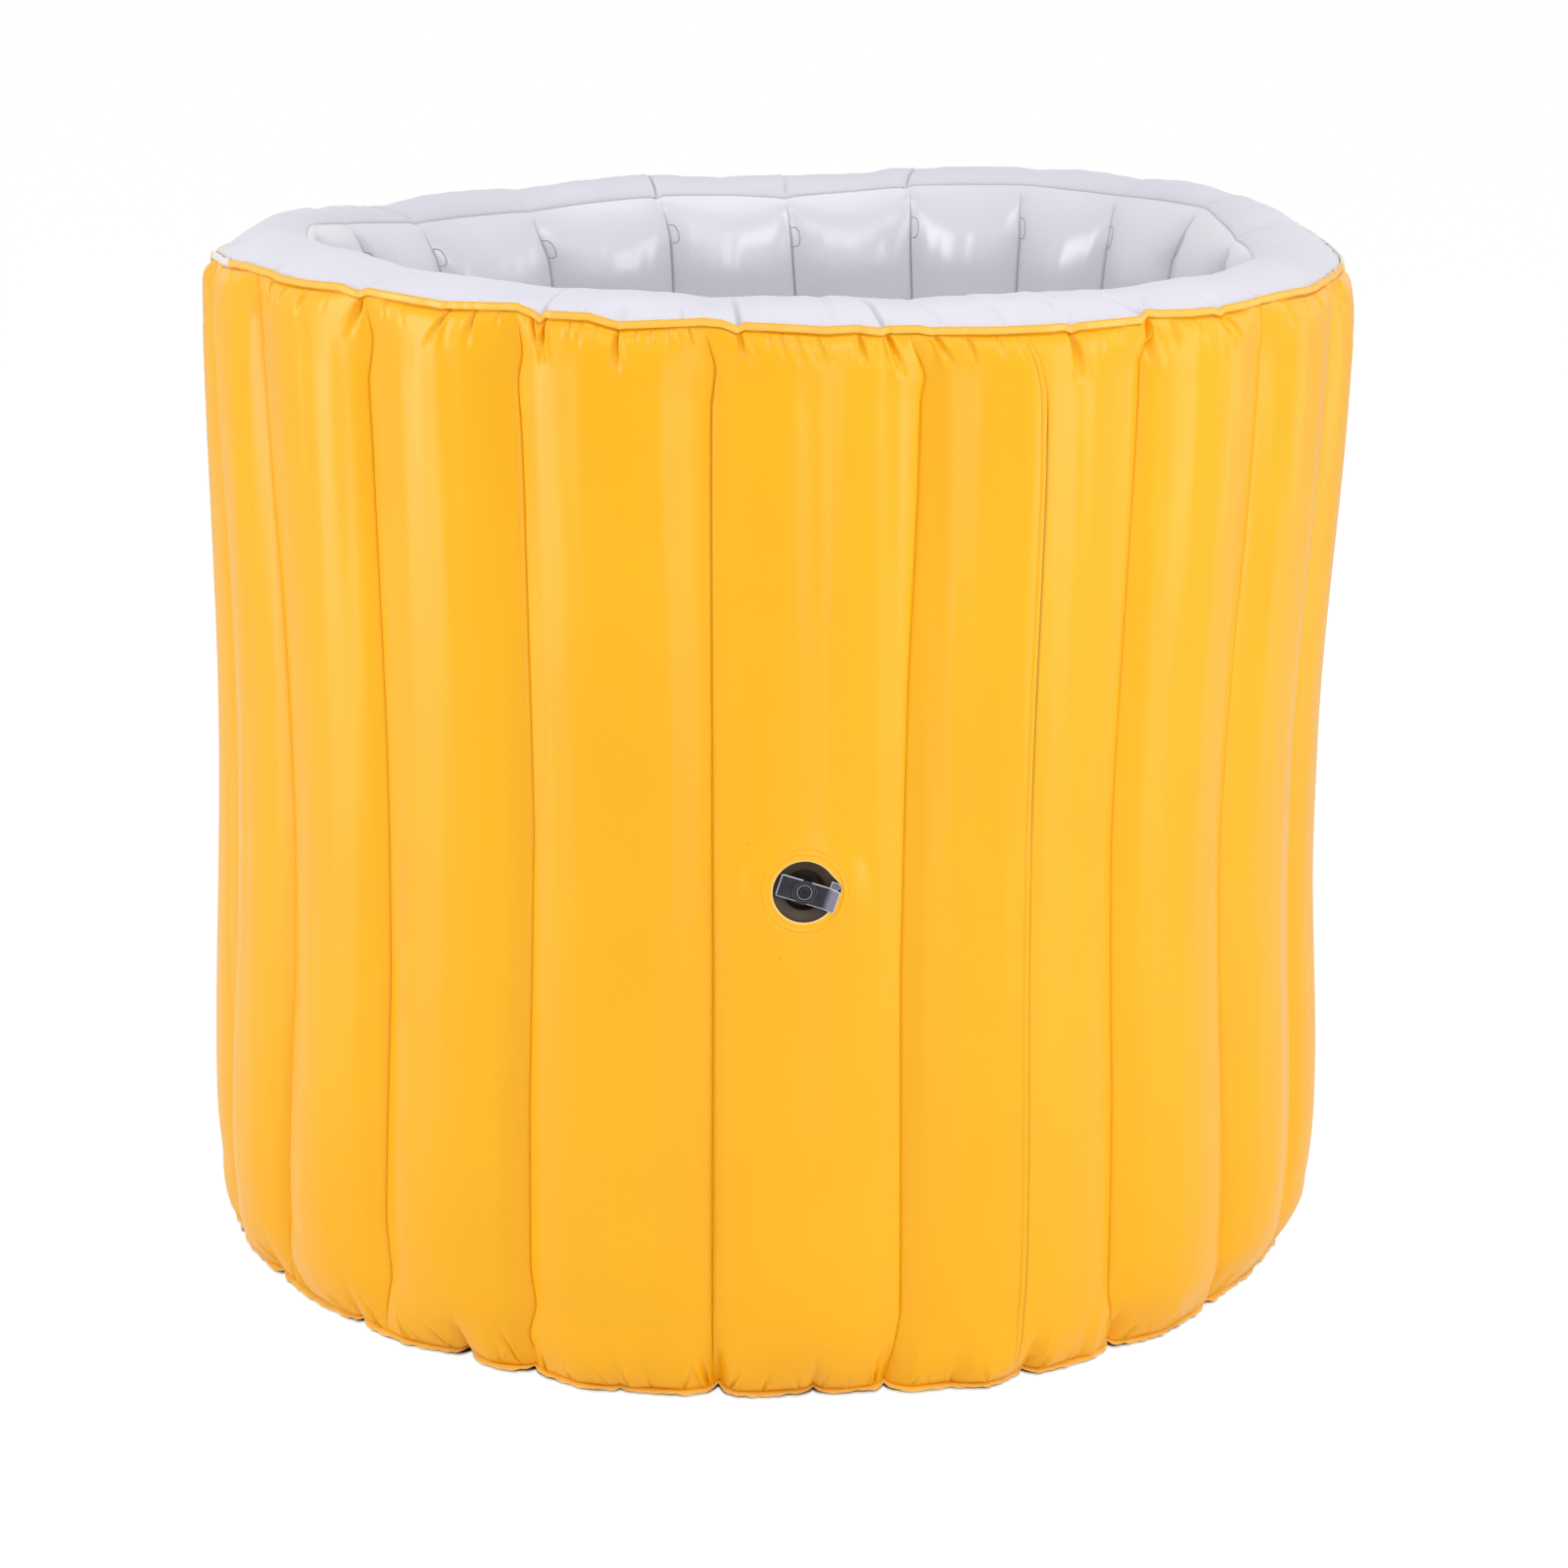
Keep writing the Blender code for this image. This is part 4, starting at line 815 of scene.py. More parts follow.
def top_panel_mesh():
    angle = OUTER_WALL.angles(np.array([SEAM_HEIGHT]))[0]
    at_seam = np.full_like(angle, SEAM_HEIGHT)
    outer_share, _, _ = OUTER_WALL.across(angle, at_seam)
    inner_share, _, _ = INNER_WALL.across(angle, at_seam)
    outer_lip, inner_lip = TUB_RADIUS - 0.0019, seam_radius(angle)
    slow = periodic(HEM_SAG, angle) * MM
    quick = hem_lift(angle) - slow
    crown = RIM_CROWN + periodic(CROWN_LINE, angle) * MM
    opening = periodic(HEM_OPEN, angle)
    small_folds = [(a, a + (b - a) * 0.5, 9, d * 0.4, w, side) for a, b, _, d, w, side in FOLD_TABLE]
    sheet = SheetRows()
    shares = np.concatenate([np.linspace(0, 0.30, 20), np.linspace(0.30, 0.94, 22)[1:], np.linspace(0.94, 1, 9)[1:]])
    for step, share in enumerate(np.insert(shares, 0, 0)):
        swell = (1 - (2 * outer_share - 1) ** 2) * (1 - share) + (1 - (2 * inner_share - 1) ** 2) * share
        arch = math.sin(math.pi * share ** 1.18) ** 0.74
        height = SEAM_HEIGHT - 0.0004 + (crown - 0.0024 * (1 - swell)) * arch
        height += slow * (1 - share) + seam_lift(angle) * share + quick * (1 - smooth(0, 0.35, share))
        dimples, dimple_lines = panel_folds(angle, TOP_DIMPLES, share, TUB_RADIUS)
        folds, fold_lines = panel_folds(angle, SEAM_FOLDS, 1 - share, INNER_SEAM)
        height += 1.6 * dimples + 1.3 * folds
        height += fold_field(angle, np.full_like(angle, share * PANEL_WIDTH), small_folds, TUB_RADIUS)[0]
        height += arch * MM * (0.25 * np.sin(angle * 31 + share * 5 + 2 * np.sin(angle * 7))
                               + 0.20 * np.sin(angle * 83 - share * 4 + np.sin(angle * 13)))
        height -= seam_dip(angle) * smooth(0.70, 1.0, share)
        radius = outer_lip + (inner_lip - outer_lip) * share - hem_pinch(angle) * (1 - smooth(0, 0.25, share))
        if step == 0:
            height -= 0.004
        # Darker lines: painted shade in the valleys of dimples and folds, and the inner seam; painted shade where the
        # hem opens.
        weld_and_shade = np.maximum(0.6 * dimple_lines, 0.85 * fold_lines)
        weld_and_shade = np.maximum(weld_and_shade, 0.8 * bell((1 - share) * PANEL_WIDTH, 0.34 * MM))
        height -= 0.25 * MM * bell((1 - share) * PANEL_WIDTH, 0.9 * MM)
        sheet.add(radius, angle, height, weld_and_shade, 0.0, opening * bell(share, 0.012))
    return sheet.mesh("top_panel_sheet", outwards=False)


def seam_dip(angles):
    """How far the inner seam sinks where a fold crosses it."""
    dip = np.zeros_like(angles)
    for start, _, _, depth, width in SEAM_FOLDS:
        arc = apart(angles, math.radians(start)) * INNER_SEAM
        dip += 0.35 * depth * MM * np.exp(-((np.abs(arc) / (2.4 * width * MM)) ** 1.4))
    return dip


def bent(start, lean, reach, end, hold):
    """(heights, radii) of a profile that leaves the seam at a lean and ends upright, from the top down."""
    turn = math.radians(lean)
    first = (start[0] - reach * math.cos(turn), start[1] - reach * math.sin(turn))
    second = (end[0], end[1] + hold)
    t = np.linspace(0, 1, 60)[:, None]
    corners = [np.array(corner) for corner in (start, first, second, end)]
    curve = ((1 - t) ** 3 * corners[0] + 3 * t * (1 - t) ** 2 * corners[1] + 3 * t * t * (1 - t) * corners[2]
             + t ** 3 * corners[3])
    return curve[::-1, 1], curve[::-1, 0]


INNER_TOP = SEAM_HEIGHT - 0.0006
CREST_CURL = bent((INNER_SEAM, INNER_TOP), 48, 0.024, (INNER_CREST, INNER_TOP - INNER_CURL), 0.022)
CREASE_CURL = bent((INNER_SEAM, INNER_TOP), 52, 0.014, (INNER_CREASE, INNER_TOP - 0.040), 0.014)


def inner_surface(angles, heights):
    """(radius, arc to the nearest crease) of the inner skin."""
    share, gap, channel = INNER_WALL.across(angles, heights)
    full = np.array(CHANNEL_FULLNESS)[channel]
    swell = np.clip(1 - np.abs(2 * share - 1) ** 2.0, 0, 1) ** 0.9
    low = np.clip(heights - 0.005, 0, 0.055) / 0.055
    foot = np.sqrt(1 - (1 - low) ** 2)
    crease = np.interp(heights, *CREASE_CURL) + (INNER_FOOT - INNER_CREASE) * (1 - foot)
    crest = np.interp(heights, *CREST_CURL) + (INNER_FOOT - INNER_CREST) * (1 - foot)
    radius = crease + (crest - crease) * swell * full
    drop = INNER_TOP - heights
    radius += (seam_radius(angles) - INNER_SEAM) * (1 - smooth(0, 0.05, drop))
    near = bell(gap * INNER_CREASE, 0.9 * MM)
    radius += 1.2 * MM * near * smooth(0.012, 0.030, drop)
    lean = bell(gap * INNER_CREASE, 7 * MM) * smooth(0.004, 0.015, drop)
    radius += 1.4 * MM * lean * (1 - smooth(0.02, 0.06, drop))
    radius -= fold_field(angles, heights - 0.005, INNER_LOW_FOLDS, INNER_SEAM)[0]
    radius -= ripples(angles + 1.0, heights) * smooth(0.01, 0.05, drop)
    return radius, gap * INNER_CREASE


INNER_LOW_FOLDS = [(a + 1.3, a + 0.4, 30, 0.9, 3.4, side) for a, _, _, _, _, side in FOLD_TABLE[::3]]


def inner_height(angles, heights):
    """Real height of a point of the inner skin, with the seam's rise, sag and dips."""
    drop = INNER_TOP - heights
    return heights + seam_lift(angles) * (1 - smooth(0, 0.20, drop)) - seam_dip(angles) * (1 - smooth(0, 0.02, drop))


def inner_skin_mesh():
    drops = np.concatenate([[0, 0.0004, 0.0009, 0.0016], np.linspace(0.0025, 0.115, 50),
                            np.arange(0.125, 0.660, 0.018)])
    foot = 0.005 + 0.055 * (1 - np.sin(np.linspace(0.15, 1, 16) * math.pi / 2))
    heights = np.concatenate([INNER_TOP - drops, foot])
    angles = INNER_WALL.angles(heights)
    z = np.broadcast_to(heights[:, None], angles.shape)
    radius, gap = inner_surface(angles, z)
    drop = INNER_TOP - z
    high = inner_height(angles, z)
    # Darker lines on the creases, their welds with painted shade, and on the inner seam.
    weld_and_shade = np.maximum(0.85 * bell(gap, 0.65 * MM) * smooth(0.002, 0.016, drop),
                      0.55 * bell(drop, 0.36 * MM))
    sheet = SheetRows()
    for row in range(len(heights)):
        sheet.add(radius[row], angles[row], high[row], weld_and_shade[row])
    low = angles[-1]
    for radius, height, dark in ((INNER_FOOT - 0.0005, 0.0036, 0.5), (INNER_FOOT - 0.0085, 0.0034, 0.1),
                                 (INNER_FOOT - 0.0088, 0.0022, 0.4)):
        sheet.add(np.full_like(low, radius), low, np.full_like(low, height), dark)
    return sheet.mesh("inner_skin_sheet", outwards=False)


def make_bottom_sheet(finish):
    """The floor of the tub: its rim lies under the foot hem and shows a pale cut edge."""
    angles = OUTER_WALL.angles(np.array([0.0]))[0]
    count = len(angles)
    lift, tuck = foot_waves(angles)
    wave, flare = edge_waves(angles)
    outline = WELD_RADIUS + 0.0044 - tuck + flare + foot_out(angles) + ragged(angles)[1]
    sheet = SheetRows()
    sheet.add(outline * 0.9, angles, np.zeros_like(angles))
    for share, height, pale in ((0.985, 0.0003, 0), (0.994, 0.0003, 0.2), (0.9985, 0.0003, 1.0), (1.0, 0.0007, 1.0),
                                (0.9985, 0.0012, 1.0), (0.994, 0.0014, 0.3), (0.985, 0.0016, 0), (0.95, 0.0020, 0)):
        raised = (lift * 0.55 + wave * 0.6) * smooth(0.95, 1.0, share)
        sheet.add(outline * share, angles, height + raised, 0, pale)
    for radius in (0.355, 0.345, 0.338, 0.335, 0.328, 0.315, 0.29, 0.26, 0.23):
        ripple = 0.5 * MM * np.sin(angles * 17 + radius * 90) * smooth(0.335, 0.30, radius)
        sheet.add(np.full_like(angles, radius), angles, FLOOR_FACE + np.abs(ripple))
    rows = len(sheet.counts)
    mesh = sheet.mesh("bottom_sheet_floor", outwards=False)
    shape = opened(mesh)
    shape.verts.ensure_lookup_table()
    inner = [shape.verts[(rows - 1) * count + step] for step in range(count)]
    under = [shape.verts[step] for step in range(count)]
    sides = 64
    hole, low_hole = ([shape.verts.new(DRAIN_PLACE + Vector(point)) for point in circle(DRAIN_HOLE, sides, height)]
                      for height in (FLOOR_FACE, 0))
    for ring, opening, facing in ((inner, hole, 1), (under, low_hole, -1)):
        edges = [shape.edges.get((ring[step], ring[(step + 1) % count])) for step in range(count)]
        edges += [shape.edges.new((opening[step], opening[(step + 1) % sides])) for step in range(sides)]
        bmesh.ops.triangle_fill(shape, edges=edges, use_beauty=True, normal=Vector((0, 0, facing)))
    stitch(shape, [hole, low_hole])
    bmesh.ops.recalc_face_normals(shape, faces=shape.faces)
    return add_piece("bottom_sheet_floor", settle(shape, mesh, 40), finish)


def bead_tree(finish):
    """Geometry nodes: a round bead of the given radius along every line of a mesh."""
    tree = bpy.data.node_groups.new("weld_bead", "GeometryNodeTree")
    sockets = tree.interface
    sockets.new_socket("Geometry", in_out="INPUT", socket_type="NodeSocketGeometry")
    radius = sockets.new_socket("Bead radius", in_out="INPUT", socket_type="NodeSocketFloat")
    sides = sockets.new_socket("Bead sides", in_out="INPUT", socket_type="NodeSocketInt")
    sockets.new_socket("Geometry", in_out="OUTPUT", socket_type="NodeSocketGeometry")
    nodes, links = tree.nodes, tree.links
    came = nodes.new("NodeGroupInput")
    lines = nodes.new("GeometryNodeMeshToCurve")
    section = nodes.new("GeometryNodeCurvePrimitiveCircle")
    bead = nodes.new("GeometryNodeCurveToMesh")
    bead.inputs["Fill Caps"].default_value = True
    dressed = nodes.new("GeometryNodeSetMaterial")
    dressed.inputs["Material"].default_value = finish
    last = bead.outputs["Mesh"]
    links.new(came.outputs["Geometry"], lines.inputs["Mesh"])
    links.new(came.outputs["Bead radius"], section.inputs["Radius"])
    links.new(came.outputs["Bead sides"], section.inputs["Resolution"])
    links.new(lines.outputs["Curve"], bead.inputs["Curve"])
    links.new(section.outputs["Curve"], bead.inputs["Profile Curve"])
    for node in (nodes.new("GeometryNodeSetShadeSmooth"), nodes.new("GeometryNodeRealizeInstances"), dressed):
        links.new(last, node.inputs["Geometry"])
        last = node.outputs["Geometry"]
    links.new(last, nodes.new("NodeGroupOutput").inputs["Geometry"])
    return tree, radius.identifier, sides.identifier


def beads_along(name, lines, radius, sides, finish):
    """One mesh of beads along lists of points, made by the bead tree."""
    points, edges = [], []
    for line in lines:
        first = len(points)
        points.extend(line)
        edges.extend((step, step + 1) for step in range(first, len(points) - 1))
    mesh = bpy.data.meshes.new(name + "_lines")
    mesh.from_pydata(points, edges, [])
    source = add_piece(name + "_lines", mesh, finish)
    tree, radius_key, sides_key = bead_tree(finish)
    modifier = source.modifiers.new("bead", "NODES")
    modifier.node_group = tree
    modifier[radius_key] = radius
    modifier[sides_key] = sides
    seen = bpy.context.evaluated_depsgraph_get()
    made = bpy.data.meshes.new_from_object(source.evaluated_get(seen))
    source.modifiers.remove(modifier)
    bpy.data.objects.remove(source)
    shape = opened(made)
    bmesh.ops.remove_doubles(shape, verts=shape.verts, dist=1e-6)
    bmesh.ops.recalc_face_normals(shape, faces=shape.faces)
    return add_piece(name, settle(shape, made), finish)


def weld_tab_lines():
    """Outline of the D-shaped end of each baffle's weld, beside its crease on the inner skin."""
    lines = []
    for path in INNER_WALL.creases:
        top = SEAM_HEIGHT - draw.uniform(0.021, 0.025)
        tall = draw.uniform(0.0145, 0.0165)
        wide = draw.uniform(0.0062, 0.0070)
        turns = np.linspace(0, math.pi, 22)
        heights = top - tall * (1 - np.cos(turns)) / 2
        reaches = -wide * np.sin(turns) ** 0.45 - 0.0008
        angles = path_angle(path, heights) + reaches / INNER_CREASE
        radius, _ = inner_surface(angles, heights)
        place = ring_place(radius + 0.0001, angles, inner_height(angles, heights))
        lines.append([tuple(point) for point in place.tolist()])
    return lines


def turned_mesh(name, profile, sides, place, sharp=32):
    """A turned solid about the local Z of place, from (radius, height) pairs; it closes on itself or on the axis."""
    shape = bmesh.new()
    rings = [[shape.verts.new(point) for point in circle(radius, sides if radius else 1, height)]
             for radius, height in profile]
    pairs = list(zip(rings, rings[1:]))
    if profile[0][0] != 0:
        pairs.append((rings[-1], rings[0]))
    for first, second in pairs:
        for step in range(sides):
            after = (step + 1) % sides
            if len(first) == 1:
                shape.faces.new((first[0], second[step], second[after]))
            elif len(second) == 1:
                shape.faces.new((first[step], second[0], first[after]))
            else:
                shape.faces.new((first[step], second[step], second[after], first[after]))
    bmesh.ops.recalc_face_normals(shape, faces=shape.faces)
    shape.transform(place)
    return settle(shape, bpy.data.meshes.new(name), sharp)


class Value:
    """A shader socket that takes part in Python sums."""

    def __init__(self, finish, socket):
        self.finish = finish
        self.socket = socket

    def maths(self, operation, first, second):
        node = self.finish.node("ShaderNodeMath", {"operation": operation}, {0: first, 1: second})
        return Value(self.finish, node.outputs[0])

    def __add__(self, other):
        return self.maths("ADD", self, other)

    def __radd__(self, other):
        return self.maths("ADD", other, self)

    def __sub__(self, other):
        return self.maths("SUBTRACT", self, other)

    def __rsub__(self, other):
        return self.maths("SUBTRACT", other, self)

    def __mul__(self, other):
        return self.maths("MULTIPLY", self, other)

    def __rmul__(self, other):
        return self.maths("MULTIPLY", other, self)


class Finish:
    """A node material on a Principled shader."""

    def __init__(self, name, colour, **constants):
        self.material = bpy.data.materials.new(name)
        self.material.use_nodes = True
        self.tree = self.material.node_tree
        self.shader = self.tree.nodes["Principled BSDF"]
        self.set("Base Color", colour)
        for key, value in constants.items():
            self.set(key.replace("_", " "), value)

    def set(self, socket, value):
        target = self.shader.inputs[socket]
        if isinstance(value, Value):
            self.tree.links.new(value.socket, target)
        elif isinstance(value, tuple) and len(value) == 3:
            target.default_value = (*value, 1.0)
        else:
            target.default_value = value

    def node(self, kind, settings=None, sockets=None):
        made = self.tree.nodes.new(kind)
        for key, value in (settings or {}).items():
            setattr(made, key, value)
        for key, value in (sockets or {}).items():
            if isinstance(value, Value):
                self.tree.links.new(value.socket, made.inputs[key])
            elif isinstance(value, tuple) and len(value) == 3 and made.inputs[key].type == "RGBA":
                made.inputs[key].default_value = (*value, 1.0)
            else:
                made.inputs[key].default_value = value
        return made

    def place(self, scale=(1, 1, 1)):
        found = self.node("ShaderNodeTexCoord")
        mapped = self.node("ShaderNodeMapping", None,
                           {"Vector": Value(self, found.outputs["Object"]), "Scale": scale})
        return Value(self, mapped.outputs["Vector"])

    def noise(self, place, scale, detail=2.0, rough=0.5):
        made = self.node("ShaderNodeTexNoise", None,
                         {"Vector": place, "Scale": scale, "Detail": detail, "Roughness": rough})
        return Value(self, made.outputs["Fac"])

    def mark(self, name):
        made = self.node("ShaderNodeAttribute", {"attribute_name": name})
        return Value(self, made.outputs["Fac"])

    def blend(self, share, first, second):
        made = self.node("ShaderNodeMix", {"data_type": "RGBA"}, {0: share, 6: first, 7: second})
        return Value(self, made.outputs[2])

    def bump(self, height, distance, strength=1.0):
        made = self.node("ShaderNodeBump", None, {"Height": height, "Distance": distance, "Strength": strength})
        self.set("Normal", Value(self, made.outputs["Normal"]))


def coated_sheet(name, colour, weld_and_shade_colour, pale, roughness, gloss, gap=(0.05, 0.04, 0.03), **constants):
    """Coated sheet: a faint cloud; deeper on welds, with painted shade in creases and folds; pale cut edges, with
    painted light on hem faces; painted shade in gaps.
    """
    finish = Finish(name, colour, Specular_IOR_Level=gloss, **constants)
    place = finish.place()
    cloud = finish.noise(place, 7.0, 2.0)
    tint = tuple(min(1.0, channel * 1.06) for channel in colour)
    shade = tuple(channel * 0.93 for channel in colour)
    base = finish.blend(cloud, shade, tint)
    # Deeper on weld lines, and painted shade in creases, fold valleys and under the hem.
    base = finish.blend(finish.mark("weld_and_shade") * 0.8, base, weld_and_shade_colour)
    # Pale cut edges, and painted light on the faces of the hem band and foot flange.
    base = finish.blend(finish.mark("edge"), base, pale)
    base = finish.blend(finish.mark("lip"), base, (0.84, 0.82, 0.78))
    # Painted shade inside gaps and opened seams.
    base = finish.blend(finish.mark("gap"), base, gap)
    finish.set("Base Color", base)
    streaks = finish.noise(finish.place((30, 30, 3)), 1.0, 3.0)
    finish.set("Roughness", roughness + (streaks - 0.5) * 0.10 + finish.mark("weld_and_shade") * 0.08)
    grain = finish.noise(place, 900.0, 2.0, 0.6)
    dents = finish.noise(place, 34.0, 2.0, 0.5)
    finish.bump(grain * 0.05 + dents * 0.4, 0.0012, 0.30)
    return finish.material


def moulded(name, colour, roughness, grain=0.02, **constants):
    """Moulded plastic or rubber: a fine moulded skin with small changes of gloss."""
    finish = Finish(name, colour, **constants)
    place = finish.place()
    fine = finish.noise(place, 1400.0, 2.0)
    cloud = finish.noise(place, 160.0, 3.0)
    lighter = tuple(min(1.0, channel * 1.25 + 0.004) for channel in colour)
    finish.set("Base Color", finish.blend(cloud, colour, lighter))
    finish.set("Roughness", roughness + (cloud - 0.5) * 0.12)
    finish.bump(fine, 0.0003, grain * 10)
    return finish.material


def clear_wing_finish():
    """Clear plastic over the dark cup: smoky faces, a painted highlight on edges and hub rings, a painted reflection
    on the bent tip.
    """
    finish = Finish("clear_wing", (0.2, 0.2, 0.24), Specular_IOR_Level=0.12)
    edge = finish.mark("edge")
    tip = finish.mark("tip")
    hub = finish.mark("hub")
    place = finish.place()
    cloud = finish.noise(place, 220.0, 3.0)
    face = finish.blend(cloud, (0.022, 0.022, 0.030), (0.060, 0.059, 0.078))
    # Painted reflection: the bent tip is lighter.
    face = finish.blend(tip, face, (0.26, 0.25, 0.32))
    face = finish.blend(hub, face, (0.006, 0.006, 0.007))
    # Painted highlight on the edges and hub rings.
    finish.set("Base Color", finish.blend(edge, face, (0.80, 0.79, 0.88)))
    finish.set("Roughness", 0.16 + cloud * 0.10)
    finish.set("Alpha", 0.80 + edge * 0.2 + tip * 0.15 + hub * 0.2)
    finish.bump(cloud, 0.0004, 0.2)
    return finish.material


def make_finishes():
    # Each sheet: base, a deeper colour for welds and painted shade, a pale colour for cut edges and painted light,
    # roughness and gloss; the gap colour is painted shade.
    return {
        "yellow": coated_sheet("yellow_sheet", (0.985, 0.475, 0.005), (0.73, 0.38, 0.006), (0.99, 0.78, 0.34),
                               0.31, 0.38, gap=(0.30, 0.17, 0.02)),
        "inner": coated_sheet("grey_sheet", (0.795, 0.780, 0.840), (0.30, 0.29, 0.34), (0.80, 0.79, 0.82), 0.30, 0.50,
                              Coat_Weight=0.8, Coat_Roughness=0.19),
        "rim": coated_sheet("pale_grey_sheet", (0.735, 0.720, 0.795), (0.34, 0.33, 0.40), (0.90, 0.89, 0.92),
                            0.40, 0.30),
        "floor": coated_sheet("bottom_sheet", (0.60, 0.59, 0.66), (0.36, 0.35, 0.42), (0.93, 0.91, 0.86), 0.34, 0.4),
        "bead": coated_sheet("weld_bead", (0.42, 0.41, 0.47), (0.5, 0.5, 0.55), (0.8, 0.8, 0.8), 0.25, 0.5),
        "smoke": moulded("smoked_plastic", (0.060, 0.040, 0.024), 0.45, Specular_IOR_Level=0.25),
        "dark": moulded("smoked_stem", (0.016, 0.015, 0.018), 0.22, Specular_IOR_Level=0.2),
        "clear": clear_wing_finish(),
        "soft": moulded("soft_dark_plastic", (0.085, 0.085, 0.095), 0.5, grain=0.05),
        "rubber": moulded("rubber", (0.050, 0.050, 0.055), 0.65, grain=0.06),
        "steel": moulded("spring_steel", (0.60, 0.60, 0.62), 0.3, Metallic=1.0),
        "web": coated_sheet("baffle_sheet", (0.62, 0.61, 0.66), (0.5, 0.5, 0.55), (0.8, 0.8, 0.8), 0.4, 0.3),
    }


def make_skins(finishes):
    outer = add_piece("outer_skin_sheet", outer_skin_mesh(), finishes["yellow"])
    top = add_piece("top_panel_sheet", top_panel_mesh(), finishes["rim"])
    inner = add_piece("inner_skin_sheet", inner_skin_mesh(), finishes["inner"])
    tabs = beads_along("weld_tabs", weld_tab_lines(), 0.0005, 6, finishes["bead"])
    bottom = make_bottom_sheet(finishes["floor"])
    for piece, node, slot in ((outer, "outer_skin", "yellow_sheet"), (top, "top_panel", "pale_grey_sheet"),
                              (inner, "inner_skin", "grey_sheet"), (bottom, "bottom_sheet", "grey_sheet")):
        claim(piece, "tub", node)
    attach(tabs, "tub")


def wing_mesh(axis):
    """The wing: a clear bar with raised polished edges, and a hub with rings round the push stem; its edges and rings
    carry a painted highlight, its bent tip a painted reflection.
    """
    thick, half = 0.0018, 0.0075
    low_end, high_end, bend, lift = -0.0176, 0.0220, 0.0144, 0.0040
    xs = np.unique(np.concatenate([np.linspace(low_end, low_end + 0.0014, 5), np.linspace(low_end, high_end, 45),
                                   np.linspace(bend - 0.001, bend + 0.001, 5),
                                   np.linspace(high_end - 0.0014, high_end, 5)]))
    ys = np.unique(np.concatenate([np.linspace(-half, -half + 0.0013, 5), np.linspace(-half, half, 15),
                                   np.linspace(half - 0.0013, half, 5)]))
    shape = bmesh.new()
    pale_edge_and_highlight_layer, tip_reflection_layer, hub_layer = (shape.verts.layers.float.new(mark) for mark in ("edge", "tip", "hub"))

    def level(x):
        return max(0.0, (x - bend) / (high_end - bend)) * lift

    grids = []
    for under in (False, True):
        grid = []
        for x in xs:
            column = []
            for y in ys:
                rim = min(x - low_end, high_end - x, half - abs(y))
                corner = 0.0011
                px, py = x, y
                dx = max(0.0, corner - min(x - low_end, high_end - x)) / corner
                dy = max(0.0, corner - (half - abs(y))) / corner
                if dx > 0 and dy > 0:
                    pull = 1 - 1 / max(1.0, math.hypot(dx, dy) / max(dx, dy))
                    px += math.copysign(corner * dx * pull, (low_end + high_end) / 2 - x)
                    py -= math.copysign(corner * dy * pull, y)
                raised = 0.00022 * bell(max(0.0, rim - 0.0004), 0.00045) if not under else 0
                soft = 0.0003 * max(0.0, 1 - rim / 0.0003)
                z = level(x) - 0.0002 + raised - soft if not under else level(x) - 0.0002 - thick + soft
                vert = shape.verts.new((px, py, z))
                # Painted highlight along the plate's edges, painted reflection on the bent tip.
                vert[pale_edge_and_highlight_layer] = float(np.clip(1.15 - rim / 0.00055, 0, 1))
                vert[tip_reflection_layer] = float(np.clip((x - bend + 0.0006) / 0.0035, 0, 1))
                column.append(vert)
            grid.append(column)
        grids.append(grid)
    upper, lower = grids
    wide, tall = len(xs), len(ys)
    for i in range(wide - 1):
        for j in range(tall - 1):
            shape.faces.new((upper[i][j], upper[i + 1][j], upper[i + 1][j + 1], upper[i][j + 1]))
            shape.faces.new((lower[i][j], lower[i][j + 1], lower[i + 1][j + 1], lower[i + 1][j]))
    border = [(i, 0) for i in range(wide)] + [(wide - 1, j) for j in range(1, tall)]
    border += [(i, tall - 1) for i in range(wide - 2, -1, -1)] + [(0, j) for j in range(tall - 2, 0, -1)]
    for (a, b), (c, d) in zip(border, border[1:] + border[:1]):
        shape.faces.new((upper[a][b], lower[a][b], lower[c][d], upper[c][d]))
    bmesh.ops.recalc_face_normals(shape, faces=shape.faces)
    shape.transform(Matrix.Rotation(WING_TILT, 4, "Z"))

    hub = [(0.0042, 0.0002), (0.0046, 0.0006), (0.0050, 0.0006), (0.0053, 0.0003), (0.0059, 0.0001),
           (0.0062, 0.0004), (0.0066, 0.0004), (0.0069, 0.0001), (0.0073, 0.0001), (0.0075, 0.0005),
           (0.0078, 0.0005), (0.0080, 0.0002), (0.0080, -0.0042), (0.0077, -0.0045), (0.0050, -0.0045),
           (0.0050, -0.0170), (0.0026, -0.0170), (0.0026, -0.0090), (0.0042, -0.0090)]
    rings = []
    for radius, height in hub:
        rings.append([shape.verts.new(point) for point in circle(radius, 64, height)])
        for vert in rings[-1]:
            # Painted highlight on the raised hub rings.
            vert[pale_edge_and_highlight_layer] = 0.0 if height < 0.0004 else 0.26 if radius < 0.0055 else 0.12
            vert[hub_layer] = 1.0
    bmesh.ops.recalc_face_normals(shape, faces=stitch(shape, rings, closed=True))
    shape.transform(axis)
    return settle(shape, bpy.data.meshes.new("wing_key"), 38)


